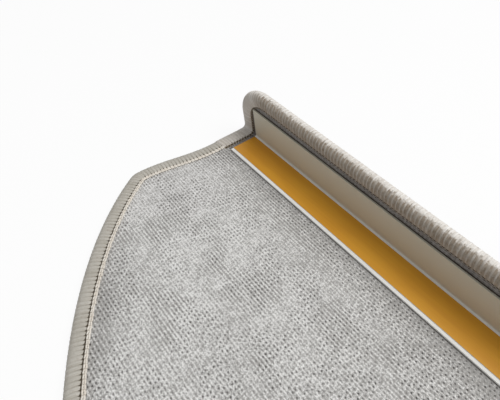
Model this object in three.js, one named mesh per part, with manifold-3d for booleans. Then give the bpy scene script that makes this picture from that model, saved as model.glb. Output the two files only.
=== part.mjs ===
// Anti slip stair tread mat, lying upside down on its pile with the lip standing up.
// Millimetres and degrees. X runs along the stair's nosing, Y from the lip to the curved back edge, Z up.
// The mat is drawn flat, as it is cut and bound, and then folded round the nosing profile.
import * as THREE from 'three';
import { mergeVertices } from 'three/addons/utils/BufferGeometryUtils.js';
import Module from 'manifold-3d';

const wasm = await Module();
wasm.setup();

// Plan of the mat, to the outside of the bound edge. Depths run from the inner corner of the profile.
const mat_length = 650;
const side_flare = 7.5;
const mat_depth = 236.8;
const lip_above_profile = 14.4;
const lip_corner_radius = 25;
const seam_to_flare = 4.5;
const side_corner_radius = 14.5;
const back_curve_overhang = 24.1;
const back_curve_centre = 6.5;

// Build-up of the sheet, from the pile face up to the woven back
const pile_thickness = 4.9;
const backing_thickness = 2;
const seat_gap = 0.3;
const tuft_row_pitch = 5.4;
const tuft_row_depth = 0.5;
const weave_row_pitch = 3.96;
const weave_row_depth = 0.4;

// Overlocked yarn edge: a first pass round the tread, a fuller second pass round the lip
const binding_wall = 0.5;
const tread_binding_width = 8.8;
const lip_binding_width = 8.5;
const lip_side_binding_width = 10.8;
const lip_binding_fullness = 0.4;
const binding_rib_pitch = 12;
const binding_rib_depth = 0.25;
const seam_past_profile = 2;
const pile_rise = 1;
const chain_stitch_margin = 0.3;
const chain_stitch_width = 2.6;
const chain_stitch_height = 0.8;
const lip_thread_margin = 0.5;
const lip_thread_width = 0.6;
const lip_thread_height = 0.5;
const bead_shoulder = 0.3;

// Angle profile glued into the fold
const profile_end_margin = 16;
const profile_wall = 1.2;
const profile_inner_radius = 1.5;
const flat_leg_width = 23.5;
const upright_leg_height = 25.8;
const upright_lean = 8.9;

// Adhesive: hidden strips behind the profile, and the mounting tape under its release liner
const bond_strip_thickness = 0.2;
const bond_strip_margin = 4;
const tape_edge_margin = 2.1;
const tape_end_margin = 0.5;
const tape_thickness = 0.45;
const liner_thickness = 0.15;

// Fineness of the round stretches
const fold_steps = 8;
const arc_step_angle = 15;
const flare_steps = 8;
const back_curve_steps = 24;
const narrowest_row = 2;
const hair = 1e-6;

// Sizes that follow from the ones above
const nosing_length = mat_length - 2 * side_flare;
const lip_height = upright_leg_height + lip_above_profile;
const binding_seam_place = flat_leg_width + seam_past_profile;
const flare_start = binding_seam_place + seam_to_flare;
const profile_length = nosing_length - 2 * profile_end_margin;
const chain_stitch_place = tread_binding_width + chain_stitch_margin + chain_stitch_width / 2;
const backing_underside = pile_thickness + seat_gap;
const sheet_top = backing_underside + backing_thickness;
const edge_radius = (sheet_top + seat_gap + binding_wall) / 2;
const profile_outer_radius = profile_inner_radius + profile_wall;
const fold_radius = profile_outer_radius + seat_gap;
const fold_turn = Math.PI / 2 + THREE.MathUtils.degToRad(upright_lean);
const fold_length = fold_radius * fold_turn;
const corner_to_fold = profile_inner_radius / Math.tan((Math.PI - fold_turn) / 2);
const fold_centre_height = sheet_top + fold_radius;
const leg_top = fold_centre_height - profile_inner_radius;
const lip_edge = corner_to_fold - fold_length - (lip_height - corner_to_fold);
const fold_reach = fold_radius + sheet_top - corner_to_fold;
const centre_depth = (mat_depth - fold_reach) / 2;

const finishes = {
  pile: new THREE.MeshStandardMaterial({ color: 0x8f8b86, roughness: 0.95, metalness: 0 }),
  backing: new THREE.MeshStandardMaterial({ color: 0xb4b2ae, roughness: 0.85, metalness: 0 }),
  binding: new THREE.MeshStandardMaterial({ color: 0xb5a99a, roughness: 0.75, metalness: 0 }),
  stitch: new THREE.MeshStandardMaterial({ color: 0xdccfbf, roughness: 0.7, metalness: 0 }),
  profile: new THREE.MeshStandardMaterial({ color: 0xc9c8c4, roughness: 0.55, metalness: 0 }),
  adhesive: new THREE.MeshStandardMaterial({ color: 0xd8d6cf, roughness: 0.6, metalness: 0 }),
  liner: new THREE.MeshStandardMaterial({ color: 0xbe8929, roughness: 0.4, metalness: 0 }),
};

// Folding: a flat point (x, s) at height t above the pile face goes to its place on the folded mat
function folded(x, s, t) {
  const into_fold = Math.max(corner_to_fold - s, 0);
  const turn = Math.min(into_fold / fold_radius, fold_turn);
  const radius = fold_radius + sheet_top - t;
  const on_tread = Math.max(s - corner_to_fold, 0);
  const up_lip = Math.max(into_fold - fold_length, 0);
  const y = corner_to_fold + on_tread - radius * Math.sin(turn) - up_lip * Math.cos(turn);
  const z = fold_centre_height - radius * Math.cos(turn) + up_lip * Math.sin(turn);
  return [x, y - centre_depth, z];
}

function foldDepths() {
  return Array.from({ length: fold_steps + 1 }, (_, i) => corner_to_fold - fold_length * i / fold_steps);
}

// The long back curve is part of an ellipse that would run on past the widest point of the mat
function onBackCurve(angle) {
  const half_axis = mat_length / 2 + back_curve_overhang;
  const depth_axis = mat_depth - back_curve_centre;
  const nx = Math.cos(angle) / half_axis;
  const ns = Math.sin(angle) / depth_axis;
  const size = Math.hypot(nx, ns);
  return {
    x: half_axis * Math.cos(angle),
    s: back_curve_centre + depth_axis * Math.sin(angle),
    nx: nx / size,
    ns: ns / size,
  };
}

// Angle on the back curve at which the rounded side corner runs into it
function cornerJointAngle() {
  const centre_x = mat_length / 2 - side_corner_radius;
  let low = 0;
  let high = Math.PI / 2;
  for (let i = 0; i < 50; i += 1) {
    const middle = (low + high) / 2;
    const at = onBackCurve(middle);
    if (at.x - side_corner_radius * at.nx > centre_x) low = middle;
    else high = middle;
  }
  return low;
}

// Points of a round corner with their outward directions. They are kept as stations of the bound edge.
function cornerArc(centre_x, centre_s, radius, from, to) {
  const steps = Math.ceil(Math.abs(to - from) / arc_step_angle);
  return Array.from({ length: steps + 1 }, (_, i) => {
    const angle = THREE.MathUtils.degToRad(from + (to - from) * i / steps);
    const nx = Math.cos(angle);
    const ns = Math.sin(angle);
    return { x: centre_x + radius * nx, s: centre_s + radius * ns, nx, ns, keep: true };
  });
}

// Right half of the bound edge, from the middle of the lip round to the middle of the back
function halfOutline() {
  const nosing_half = nosing_length / 2;
  const joint_angle = cornerJointAngle();
  const joint = onBackCurve(joint_angle);
  const joint_turn = THREE.MathUtils.radToDeg(Math.atan2(joint.ns, joint.nx));
  const corner_x = mat_length / 2 - side_corner_radius;
  const corner_s = joint.s - side_corner_radius * joint.ns;
  const flare_rise = mat_length / 2 - nosing_half;
  const flare_run = corner_s - flare_start;

  const lip_middle = { x: 0, s: lip_edge, nx: 0, ns: -1 };
  const lip_corner_x = nosing_half - lip_corner_radius;
  const lip_corner = cornerArc(lip_corner_x, lip_edge + lip_corner_radius, lip_corner_radius, -90, 0);
  const fold = foldDepths().reverse().map((s) => ({ x: nosing_half, s, nx: 1, ns: 0, keep: true }));
  const seam = { x: nosing_half, s: binding_seam_place, nx: 1, ns: 0, keep: true, seam: true };
  const flare = Array.from({ length: flare_steps }, (_, i) => {
    const along = i / flare_steps;
    const slope = flare_rise / flare_run * Math.PI / 2 * Math.sin(Math.PI * along);
    const size = Math.hypot(1, slope);
    const rise = flare_rise * (1 - Math.cos(Math.PI * along)) / 2;
    return { x: nosing_half + rise, s: flare_start + flare_run * along, nx: 1 / size, ns: -slope / size };
  });
  const side_corner = cornerArc(corner_x, corner_s, side_corner_radius, 0, joint_turn);
  const back = Array.from({ length: back_curve_steps }, (_, i) => {
    return onBackCurve(joint_angle + (Math.PI / 2 - joint_angle) * (i + 1) / back_curve_steps);
  });
  return [lip_middle, ...lip_corner, ...fold, seam, ...flare, ...side_corner, ...back];
}

const outline = halfOutline();
const seam_index = outline.findIndex((point) => point.seam);

// Half length of the mat at flat depth s, measured a distance inset inside the bound edge
function halfWidth(s, inset) {
  let width = narrowest_row;
  for (let i = 1; i < outline.length; i += 1) {
    const from = outline[i - 1];
    const to = outline[i];
    const from_s = from.s - inset * from.ns;
    const to_s = to.s - inset * to.ns;
    if (from_s < to_s && s > from_s - hair && s < to_s + hair) {
      const share = (s - from_s) / (to_s - from_s);
      const reach = (from.x - inset * from.nx) * (1 - share) + (to.x - inset * to.nx) * share;
      width = Math.max(reach, narrowest_row);
    }
  }
  return width;
}

// Turns the faces round where a mesh encloses a negative volume
function facingOut(geometry) {
  const place = geometry.attributes.position;
  const index = geometry.index.array;
  const corner = (i) => new THREE.Vector3().fromBufferAttribute(place, index[i]);
  let volume = 0;
  for (let i = 0; i < index.length; i += 3) {
    volume += corner(i).dot(corner(i + 1).cross(corner(i + 2)));
  }
  if (volume < 0) {
    for (let i = 0; i < index.length; i += 3) {
      [index[i + 1], index[i + 2]] = [index[i + 2], index[i + 1]];
    }
  }
  return geometry;
}

function toPoints(section) {
  return section.map(([across, up]) => new THREE.Vector2(across, up));
}

// Triangles that fill a section, all running round the same way
function capFaces(section) {
  const corners = toPoints(section);
  return THREE.ShapeUtils.triangulateShape(corners, []).map(([a, b, c]) => {
    const turned = THREE.ShapeUtils.area([corners[a], corners[b], corners[c]]) < 0;
    return turned ? [a, c, b] : [a, b, c];
  });
}

// A closed solid from rings of points, capped at its first and last ring
function ringSolid(rings, first_section, last_section) {
  const count = rings[0].length;
  const faces = [];
  for (let ring = 0; ring + 1 < rings.length; ring += 1) {
    for (let i = 0; i < count; i += 1) {
      const a = ring * count + i;
      const b = ring * count + (i + 1) % count;
      faces.push(a, b, b + count, a, b + count, a + count);
    }
  }
  const last = (rings.length - 1) * count;
  const forward = THREE.ShapeUtils.area(toPoints(first_section)) > 0;
  for (const [a, b, c] of capFaces(first_section)) faces.push(...(forward ? [a, c, b] : [a, b, c]));
  for (const cap of capFaces(last_section)) {
    const [a, b, c] = cap.map((corner) => last + corner);
    faces.push(...(forward ? [a, b, c] : [a, c, b]));
  }
  const geometry = new THREE.BufferGeometry();
  geometry.setAttribute('position', new THREE.Float32BufferAttribute(rings.flat(2), 3));
  geometry.setIndex(faces);
  return facingOut(geometry);
}

// Joins closed solids that run into each other
function joined(...geometries) {
  const solids = geometries.map((geometry) => {
    const merged = mergeVertices(geometry);
    return new wasm.Manifold(new wasm.Mesh({
      numProp: 3,
      vertProperties: new Float32Array(merged.attributes.position.array),
      triVerts: new Uint32Array(merged.index.array),
    }));
  });
  const mesh = solids.reduce((whole, solid) => whole.add(solid)).getMesh();
  const geometry = new THREE.BufferGeometry();
  geometry.setAttribute('position', new THREE.Float32BufferAttribute(mesh.vertProperties, 3));
  geometry.setIndex(Array.from(mesh.triVerts));
  return geometry;
}

// The level of a sheet's face where only so much room is left before the end of the mat
function levelWithin(levels, index, room) {
  const insets = levels.map(([, inset]) => inset);
  const widest = insets.indexOf(Math.min(...insets));
  const step = Math.sign(widest - index);
  let at = index;
  while (at !== widest && insets[at + step] > room) at += step;
  const [height, inset] = levels[at];
  if (at === widest || inset <= room) return [height, inset];
  const [next_height, next_inset] = levels[at + step];
  const share = (room - next_inset) / (inset - next_inset);
  return [next_height + (height - next_height) * share, room];
}

// Flat depths of a sheet's rows, half a pitch apart, clear of the depths that its fold and ends need
function rowDepths(first, last, pitch, needed) {
  const half = pitch / 2;
  const count = Math.floor(last / half) - Math.ceil(first / half) + 1;
  const depths = Array.from({ length: count }, (_, i) => (Math.ceil(first / half) + i) * half);
  return depths.filter((s) => {
    const in_fold = s > corner_to_fold - fold_length && s < corner_to_fold;
    return !in_fold && needed.every((other) => Math.abs(other - s) > half / 2);
  });
}

// One sheet of the mat. Its levels are [height, inset from the bound edge], from the top face down,
// and one of them is laid in rows. Towards both ends the levels close in, as they do at the sides.
// side_room is what the sheet gives up on each side of the lip, as far as the seam of the binding.
function sheetSolid(levels, rows) {
  const [deepest, second] = levels.map(([, inset]) => inset).sort((a, b) => b - a);
  const first = lip_edge + second + seat_gap;
  const last = mat_depth - second - seat_gap;
  const needed = [first, lip_edge + deepest, ...foldDepths(), mat_depth - deepest, last];
  const free = rowDepths(first, last, rows.pitch, needed);
  const depths = [...needed, ...free].sort((a, b) => a - b);
  const section = (s) => {
    const room = Math.min(s - lip_edge, mat_depth - s);
    const between_rows = free.includes(s) && Math.round(s / (rows.pitch / 2)) % 2 !== 0;
    const side_room = s < binding_seam_place + rows.pitch / 2 ? rows.side_room : 0;
    const right = levels.map((level, index) => {
      const [height, inset] = levelWithin(levels, index, room);
      const step = index === rows.level && between_rows ? rows.step : 0;
      return [halfWidth(s, Math.min(inset + side_room, room)), height + step];
    });
    return [...right, ...right.map(([x, t]) => [-x, t]).reverse()];
  };
  const rings = depths.map((s) => section(s).map(([x, t]) => folded(x, s, t)));
  return ringSolid(rings, section(first), section(last));
}

// Inset of the sheets' edge at height t, inside the nose of the binding
function edgeInset(t) {
  const nose_gap = seat_gap * Math.SQRT2;
  return binding_wall + nose_gap + Math.abs(t - edge_radius);
}

function tuftedCarpet() {
  const pile_field = Math.max(tread_binding_width, lip_binding_width) + seat_gap;
  const lip_side_room = Math.max(lip_side_binding_width + seat_gap - pile_field, 0);
  const bound_underside = binding_wall + seat_gap;
  const base = sheetSolid(
    [
      [pile_thickness, edgeInset(pile_thickness)],
      [edge_radius, edgeInset(edge_radius)],
      [bound_underside, edgeInset(bound_underside)],
    ],
    { pitch: tuft_row_pitch * 2, level: 2, step: 0, side_room: 0 },
  );
  const pile_root = (bound_underside + pile_thickness) / 2;
  const pile = sheetSolid(
    [
      [pile_root, pile_field],
      [0, pile_field + pile_rise],
    ],
    { pitch: tuft_row_pitch, level: 1, step: tuft_row_depth, side_room: lip_side_room },
  );
  return joined(base, pile);
}

function wovenBacking() {
  return sheetSolid(
    [
      [sheet_top, edgeInset(sheet_top)],
      [backing_underside, edgeInset(backing_underside)],
    ],
    { pitch: weave_row_pitch, level: 0, step: -weave_row_depth, side_room: 0 },
  );
}

// Stations along a stretch of the bound edge, half a rib apart, with the kept points among them
function edgeStations(points) {
  const reach = [0];
  for (let i = 1; i < points.length; i += 1) {
    reach.push(reach[i - 1] + Math.hypot(points[i].x - points[i - 1].x, points[i].s - points[i - 1].s));
  }
  const stationAt = (length, rib) => {
    const next = Math.max(reach.findIndex((value) => value >= length), 1);
    const share = (length - reach[next - 1]) / (reach[next] - reach[next - 1]);
    const mix = (key) => points[next - 1][key] * (1 - share) + points[next][key] * share;
    const size = Math.hypot(mix('nx'), mix('ns'));
    return { x: mix('x'), s: mix('s'), nx: mix('nx') / size, ns: mix('ns') / size, rib };
  };
  const ends = points.map((point, i) => i).filter((i) => points[i].keep);
  const stations = [];
  for (let k = 0; k + 1 < ends.length; k += 1) {
    const from = reach[ends[k]];
    const run = reach[ends[k + 1]] - from;
    const steps = Math.max(Math.round(run / (binding_rib_pitch / 2)), 1);
    for (let i = 0; i < steps; i += 1) {
      stations.push(stationAt(from + run * i / steps, i === 0 ? 0.5 : i % 2));
    }
  }
  stations.push(stationAt(reach[ends[ends.length - 1]], 0.5));
  return stations;
}

// A sewn line needs only every other station, because it has no ribs
function sewnStations(stations) {
  return stations.filter((station) => station.rib !== 1);
}

function mirrored(points) {
  return points.map((point) => ({ ...point, x: -point.x, nx: -point.nx })).reverse();
}

function shortened(points) {
  const end = points[0];
  return [{ ...end, s: end.s + seat_gap / 2 }, ...points.slice(1)];
}

const tread_half = shortened(outline.slice(seam_index));
const tread_edge = edgeStations([...tread_half, ...mirrored(tread_half.slice(0, -1))]);
const lip_half = outline.slice(0, seam_index + 1);
const lip_end = { ...lip_half[seam_index], s: binding_seam_place - seat_gap / 2 };
const lip_points = [...lip_half.slice(0, -1), lip_end];
const lip_run = edgeStations([...mirrored(lip_points.slice(1)), ...lip_points]);

// Sweeps a section of [place inside the bound edge, height] along stations of the edge
function sweptAlongEdge(stations, sectionAt) {
  const rings = stations.map((station) => sectionAt(station).map(([inside, t]) => {
    return folded(station.x - station.nx * inside, station.s - station.ns * inside, t);
  }));
  return ringSolid(rings, sectionAt(stations[0]), sectionAt(stations[stations.length - 1]));
}

function treadBindingWidth() {
  return tread_binding_width;
}

// The lip's yarn reaches further in along its sides than along its top
function lipBindingWidth(station) {
  const share = Math.abs(station.nx);
  return lip_binding_width * (1 - share) + lip_side_binding_width * share;
}

function chainStitchPlace() {
  return chain_stitch_place;
}

function lipThreadPlace(station) {
  return lipBindingWidth(station) + lip_thread_margin + lip_thread_width / 2;
}

// The yarn wrapped round the edge: round outside, ribbed, and open on the side of the mat
function bindingSolid(stations, widthAt, fullness) {
  const section = (station) => {
    const width = widthAt(station);
    const sunk = binding_rib_depth * (1 - station.rib);
    const nose = [90, 45, 0, -45].map((angle) => {
      const turn = THREE.MathUtils.degToRad(angle);
      const radius = edge_radius + fullness - sunk;
      return [edge_radius - radius * Math.cos(turn), edge_radius + radius * Math.sin(turn)];
    });
    const back = edge_radius * 2;
    return [
      [width, back + fullness - sunk],
      ...nose,
      [edge_radius, sunk],
      [width, sunk],
      [width, binding_wall],
      [edge_radius, binding_wall],
      [binding_wall, edge_radius],
      [edge_radius, back - binding_wall],
      [width, back - binding_wall],
    ];
  };
  return sweptAlongEdge(stations, section);
}

function beadSolid(stations, placeAt, width, height) {
  const foot = sheet_top + seat_gap;
  const shoulder = foot + bead_shoulder;
  return sweptAlongEdge(sewnStations(stations), (station) => {
    const place = placeAt(station);
    return [
      [place - width / 2, foot],
      [place - width / 2, shoulder],
      [place, foot + height],
      [place + width / 2, shoulder],
      [place + width / 2, foot],
    ];
  });
}

// Pieces of one section along the nosing are drawn in a frame whose X is the depth and Y the height
function alongNosing(shape, length) {
  const geometry = new THREE.ExtrudeGeometry(shape, { depth: length, bevelEnabled: false, curveSegments: 6 });
  return geometry.translate(0, 0, -length / 2);
}

function block(depth_from, depth_to, height_from, height_to) {
  const shape = new THREE.Shape();
  shape.moveTo(depth_from, height_from);
  shape.lineTo(depth_to, height_from);
  shape.lineTo(depth_to, height_to);
  shape.lineTo(depth_from, height_to);
  return shape;
}

// A point on the upright leg: so far up it from the inner corner, and so far behind its inner face
function onUpright(up, behind) {
  const lean = THREE.MathUtils.degToRad(upright_lean);
  const y = up * Math.sin(lean) - behind * Math.cos(lean);
  const z = leg_top + up * Math.cos(lean) + behind * Math.sin(lean);
  return [y, z];
}

function angleProfile() {
  const down = -Math.PI / 2;
  const shape = new THREE.Shape();
  shape.moveTo(flat_leg_width, leg_top - profile_wall);
  shape.absarc(corner_to_fold, fold_centre_height, profile_outer_radius, down, down - fold_turn, true);
  shape.lineTo(...onUpright(upright_leg_height, profile_wall));
  shape.lineTo(...onUpright(upright_leg_height, 0));
  shape.absarc(corner_to_fold, fold_centre_height, profile_inner_radius, down - fold_turn, down, false);
  shape.lineTo(flat_leg_width, leg_top);
  return alongNosing(shape, profile_length);
}

function treadBondStrip() {
  const from = corner_to_fold + bond_strip_margin;
  const to = flat_leg_width - bond_strip_margin;
  const foot = leg_top - profile_wall - (seat_gap + bond_strip_thickness) / 2;
  const shape = block(from, to, foot, foot + bond_strip_thickness);
  return alongNosing(shape, profile_length - 2 * bond_strip_margin);
}

function lipBondStrip() {
  const front = profile_wall + (seat_gap - bond_strip_thickness) / 2;
  const low = corner_to_fold + bond_strip_margin;
  const high = upright_leg_height - bond_strip_margin;
  const shape = new THREE.Shape();
  shape.moveTo(...onUpright(low, front));
  shape.lineTo(...onUpright(high, front));
  shape.lineTo(...onUpright(high, front + bond_strip_thickness));
  shape.lineTo(...onUpright(low, front + bond_strip_thickness));
  return alongNosing(shape, profile_length - 2 * bond_strip_margin);
}

const tape_to = flat_leg_width - tape_edge_margin;
const tape_top = leg_top + tape_thickness;
const tape_length = profile_length - 2 * tape_end_margin;

function mountingTape() {
  return alongNosing(block(corner_to_fold, tape_to, leg_top, tape_top), tape_length);
}

function releaseLiner() {
  const shape = block(corner_to_fold, tape_to, tape_top, tape_top + liner_thickness);
  return alongNosing(shape, tape_length);
}

function piece(name, geometry, finish) {
  const mesh = new THREE.Mesh(geometry, finish);
  mesh.name = name;
  return mesh;
}

const textile = new THREE.Group();
textile.add(
  piece('tufted_carpet', tuftedCarpet(), finishes.pile),
  piece('woven_backing', wovenBacking(), finishes.backing),
  piece('tread_edge_binding', bindingSolid(tread_edge, treadBindingWidth, 0), finishes.binding),
  piece('lip_edge_binding', bindingSolid(lip_run, lipBindingWidth, lip_binding_fullness), finishes.binding),
  piece(
    'back_chain_stitch',
    beadSolid(tread_edge, chainStitchPlace, chain_stitch_width, chain_stitch_height),
    finishes.stitch,
  ),
  piece(
    'lip_needle_thread',
    beadSolid(lip_run, lipThreadPlace, lip_thread_width, lip_thread_height),
    finishes.stitch,
  ),
);

const nosing = new THREE.Group();
nosing.rotation.set(Math.PI / 2, Math.PI / 2, 0);
nosing.position.y = -centre_depth;
nosing.add(
  piece('angle_profile', angleProfile(), finishes.profile),
  piece('tread_bond_strip', treadBondStrip(), finishes.adhesive),
  piece('lip_bond_strip', lipBondStrip(), finishes.adhesive),
  piece('mounting_tape', mountingTape(), finishes.adhesive),
  piece('release_liner', releaseLiner(), finishes.liner),
);

const mat = new THREE.Group();
mat.add(textile, nosing);

export default mat;
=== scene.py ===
"""Dresses a bound carpet stair tread mat, lying upside down on its pile with the lip upright."""
import math
import random
from collections import namedtuple

import bmesh
import bpy
from bpy.props import FloatProperty, FloatVectorProperty, IntProperty, PointerProperty
from mathutils import Matrix, Vector


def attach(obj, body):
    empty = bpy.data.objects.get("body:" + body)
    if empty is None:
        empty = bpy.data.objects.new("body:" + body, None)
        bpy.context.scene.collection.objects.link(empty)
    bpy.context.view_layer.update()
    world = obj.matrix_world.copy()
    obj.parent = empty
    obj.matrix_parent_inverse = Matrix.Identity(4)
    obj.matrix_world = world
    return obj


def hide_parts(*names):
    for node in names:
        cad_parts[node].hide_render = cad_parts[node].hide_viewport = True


bl_info = {
    "name": "Stair tread mat",
    "version": (1, 0, 0),
    "blender": (4, 5, 0),
    "location": "3D View > Sidebar > Tread mat",
    "description": "Makes the carpet, back, yarn edges, profile and tape of a stair tread mat",
    "category": "Object",
}

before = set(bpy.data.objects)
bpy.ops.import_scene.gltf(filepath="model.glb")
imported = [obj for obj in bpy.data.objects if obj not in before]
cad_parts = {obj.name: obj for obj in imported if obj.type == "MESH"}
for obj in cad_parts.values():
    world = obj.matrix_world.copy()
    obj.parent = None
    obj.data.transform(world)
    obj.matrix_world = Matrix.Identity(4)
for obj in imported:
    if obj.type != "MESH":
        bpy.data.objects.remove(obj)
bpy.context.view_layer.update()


# Properties
def linear(level):
    """Scene linear strength of a screen level from 0 to 255."""
    share = level / 255
    return share / 12.92 if share <= 0.04045 else ((share + 0.055) / 1.055) ** 2.4


def size(name, description, default):
    """A length in metres."""
    return FloatProperty(
        name=name, description=description, default=default, min=0, precision=5, unit="LENGTH"
    )


def turn(name, description, degrees):
    """An angle, written here in degrees."""
    return FloatProperty(
        name=name, description=description, default=math.radians(degrees), unit="ROTATION"
    )


def tint(name, description, red, green, blue):
    """A colour, written here in screen levels from 0 to 255."""
    return FloatVectorProperty(
        name=name,
        description=description,
        default=(linear(red), linear(green), linear(blue)),
        min=0,
        max=1,
        size=3,
        subtype="COLOR",
    )


def share(name, description, default):
    return FloatProperty(name=name, description=description, default=default, min=0)


class MatCut(bpy.types.PropertyGroup):
    """Plan of the mat, to the outside of its bound edge. Depths run from the profile's corner."""

    mat_length: size("Mat length", "Widest length of the mat", 0.650)
    side_flare: size("Side flare", "How far each side widens behind the nosing", 0.0075)
    mat_depth: size("Mat depth", "From the profile's inner corner to the back", 0.2368)
    lip_above_profile: size("Lip above profile", "Height of the lip past the profile", 0.0144)
    lip_corner: size("Lip corner", "Radius of the lip's upper corners", 0.025)
    seam_past_profile: size("Seam past profile", "From the flat leg to the binding seam", 0.002)
    seam_to_flare: size("Seam to flare", "Straight side between the seam and the flare", 0.0045)
    side_corner: size("Side corner", "Radius of the round side corners", 0.0145)
    curve_overhang: size("Curve overhang", "How far the back ellipse would pass the sides", 0.0241)
    curve_centre: size("Curve centre", "Depth of the middle of the back ellipse", 0.0065)


class MatSheet(bpy.types.PropertyGroup):
    """Build-up of the carpet sheet and the pitch of its weave and pile."""

    pile: size("Pile", "Thickness of the tufted carpet", 0.0049)
    backing: size("Backing", "Thickness of the woven back", 0.002)
    seat_gap: size("Seat gap", "Room between pieces that lie on each other", 0.0003)
    weft_pitch: size("Weft pitch", "Distance between two rows of weft", 0.00198)
    weft_relief: size("Weft relief", "Depth between two rows of weft", 0.00028)
    hole_pitch: size("Hole pitch", "Distance between holes in a row", 0.00269)
    weave_skew: share("Weave skew", "Drift of the warp along the nosing with depth", 0.0876)
    tuft_across: size("Tuft spacing along", "Distance between tufts along the nosing", 0.0045)
    tuft_rows: size("Tuft row spacing", "Distance between rows of tufts", 0.0041)
    tuft_radius: size("Tuft radius", "Radius of one tuft of pile", 0.0025)
    backing_light: tint("Backing light", "Crests of the woven back", 242, 241, 239)
    backing_tone: tint("Backing tone", "Body of the woven back", 160, 158, 155)
    backing_hole: tint("Backing hole", "Holes between the threads", 72, 69, 66)
    pile_light: tint("Pile light", "Tips of the pile", 178, 170, 158)
    pile_dark: tint("Pile dark", "Foot of the pile", 96, 88, 78)


class MatBinding(bpy.types.PropertyGroup):
    """Yarn wrapped round the edge: a first pass round the tread, a fuller one round the lip."""

    wall: size("Wall", "Thickness of the yarn layer", 0.0005)
    tread_width: size("Tread binding width", "From the bound edge to the needle line", 0.0088)
    lip_width: size("Lip binding width", "From the lip's top edge to the needle line", 0.0085)
    lip_side_width: size("Lip side binding width", "From the lip's side to the needle line", 0.0108)
    lip_fullness: size("Lip fullness", "How far the lip's yarn stands proud of the tread's", 0.0004)
    stitch_pitch: size("Stitch pitch", "Distance between two needle holes", 0.0025)
    strands: IntProperty(name="Strands", description="Strands in a stitch", default=3, min=2)
    tread_yarn: size("Tread yarn radius", "Radius of one strand on the tread", 0.00056)
    lip_yarn: size("Lip yarn radius", "Radius of one strand on the lip", 0.00062)
    tread_fan: turn("Tread fan", "Angle between two strands of a tread stitch", 3.2)
    lip_fan: turn("Lip fan", "Angle between two strands of a lip stitch", 3.2)
    slant: turn("Slant", "Lean of the strands along the edge", 9)
    chain_margin: size("Chain margin", "From the yarn to the chain stitch", 0.0003)
    chain_width: size("Chain width", "Width of the chain stitch", 0.0026)
    chain_thread: size("Chain thread radius", "Radius of the sewing thread", 0.00056)
    needle_margin: size("Needle margin", "From the lip's yarn to its needle thread", 0.0005)
    needle_width: size("Needle thread width", "Width of the lip's needle thread", 0.0006)
    tread_light: tint("Tread yarn light", "Lightest strands round the tread", 204, 200, 192)
    tread_tone: tint("Tread yarn tone", "Body of the yarn round the tread", 178, 173, 162)
    # The lip's yarn is the same yarn as the tread's, fluffier, and drawn much lighter: painted
    # light on the crest of the lip.
    lip_light: tint("Lip yarn light", "Lightest strands round the lip", 252, 250, 246)
    lip_tone: tint("Lip yarn tone", "Body of the yarn round the lip", 216, 209, 200)
    # Yarn deep is also the colour of the painted shade on the yarn, its bed and the chain, and the
    # needle thread's own tone.
    yarn_deep: tint("Yarn deep", "Gaps between the strands", 134, 119, 100)
    chain_tint: tint("Chain tint", "Cream sewing thread", 238, 232, 222)
    hole_tint: tint("Needle hole tint", "Inside of a needle hole", 58, 50, 38)


class MatNosing(bpy.types.PropertyGroup):
    """Angle profile in the fold, and the tape on its flat leg."""

    end_margin: size("End margin", "From the end of the profile to the mat's side", 0.016)
    wall: size("Profile wall", "Thickness of the profile", 0.0012)
    inner_radius: size("Inner radius", "Radius in the profile's inner corner", 0.0015)
    flat_leg: size("Flat leg", "Width of the leg that lies on the tread part", 0.0235)
    upright_leg: size("Upright leg", "Height of the leg on the lip", 0.0258)
    lean: turn("Lean", "Lean of the upright leg away from the tread", 8.9)
    edge_round: size("Edge round", "Rounding of the extruded edges", 0.00022)
    tape_edge_margin: size("Tape edge margin", "From the tape to the flat leg's edge", 0.0021)
    tape_end_margin: size("Tape end margin", "From the tape to the profile's end", 0.0005)
    tape: size("Tape", "Thickness of the mounting tape", 0.00045)
    liner: size("Liner", "Thickness of the release liner", 0.00015)
    plastic: tint("Profile plastic", "Extruded light grey plastic", 204, 200, 184)
    # Painted light: the same plastic, drawn white on the flat leg that faces the lamp.
    clean: tint("Clean plastic", "The same plastic where it has stayed white", 255, 255, 255)
    adhesive: tint("Adhesive", "Milky adhesive film", 216, 214, 205)
    amber: tint("Liner amber", "Amber release liner", 218, 158, 44)
    amber_deep: tint("Liner deep amber", "Darker streaks of the liner", 204, 140, 34)
    recess: tint("Recess", "Shaded woven back round the profile", 62, 46, 34)


class MatStage(bpy.types.PropertyGroup):
    """Camera, floor and lamps."""

    place: FloatVectorProperty(
        name="Camera place",
        description="Where the camera stands",
        default=(0.11931, 0.04466, 0.21546),
        unit="LENGTH",
        subtype="TRANSLATION",
    )
    heading: turn("Camera heading", "Turn of the camera about the vertical", -130.32)
    pitch: turn("Camera pitch", "Tilt of the camera up from straight down", 40.79)
    roll: turn("Camera roll", "Turn of the camera about its own axis", 1.58)
    lens: FloatProperty(name="Lens", description="Focal length on a 36 mm frame", default=30.45)
    floor_half: size("Floor half width", "Half the width of the floor", 3.0)
    floor_tint: tint("Floor tint", "Pale studio floor", 244, 244, 244)
    floor_glow: share("Floor glow", "Share of plain white in the floor that the camera sees", 0.92)
    world_level: share("World level", "Strength of the surrounding light", 0.34)
    key_level: share("Key level", "Light that the key lamp lays on the floor, 1 being full", 0.72)
    key_distance: size("Key distance", "From the key lamp to the mat", 1.3)
    key_size: size("Key size", "Width of the key lamp", 0.8)
    key_rise: turn("Key rise", "Height of the key lamp above the floor", 66)
    key_swing: turn("Key swing", "Turn of the key lamp from behind the lip", 40)


# Records
EdgePoint = namedtuple("EdgePoint", "x s nx ns")
Station = namedtuple(
    "Station", "place outward upward lean stretch strand extra flank", defaults=(0.0, 0.0)
)
EdgePass = namedtuple("EdgePass", "name node run width_at least fan fullness yarn light tone")
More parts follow.
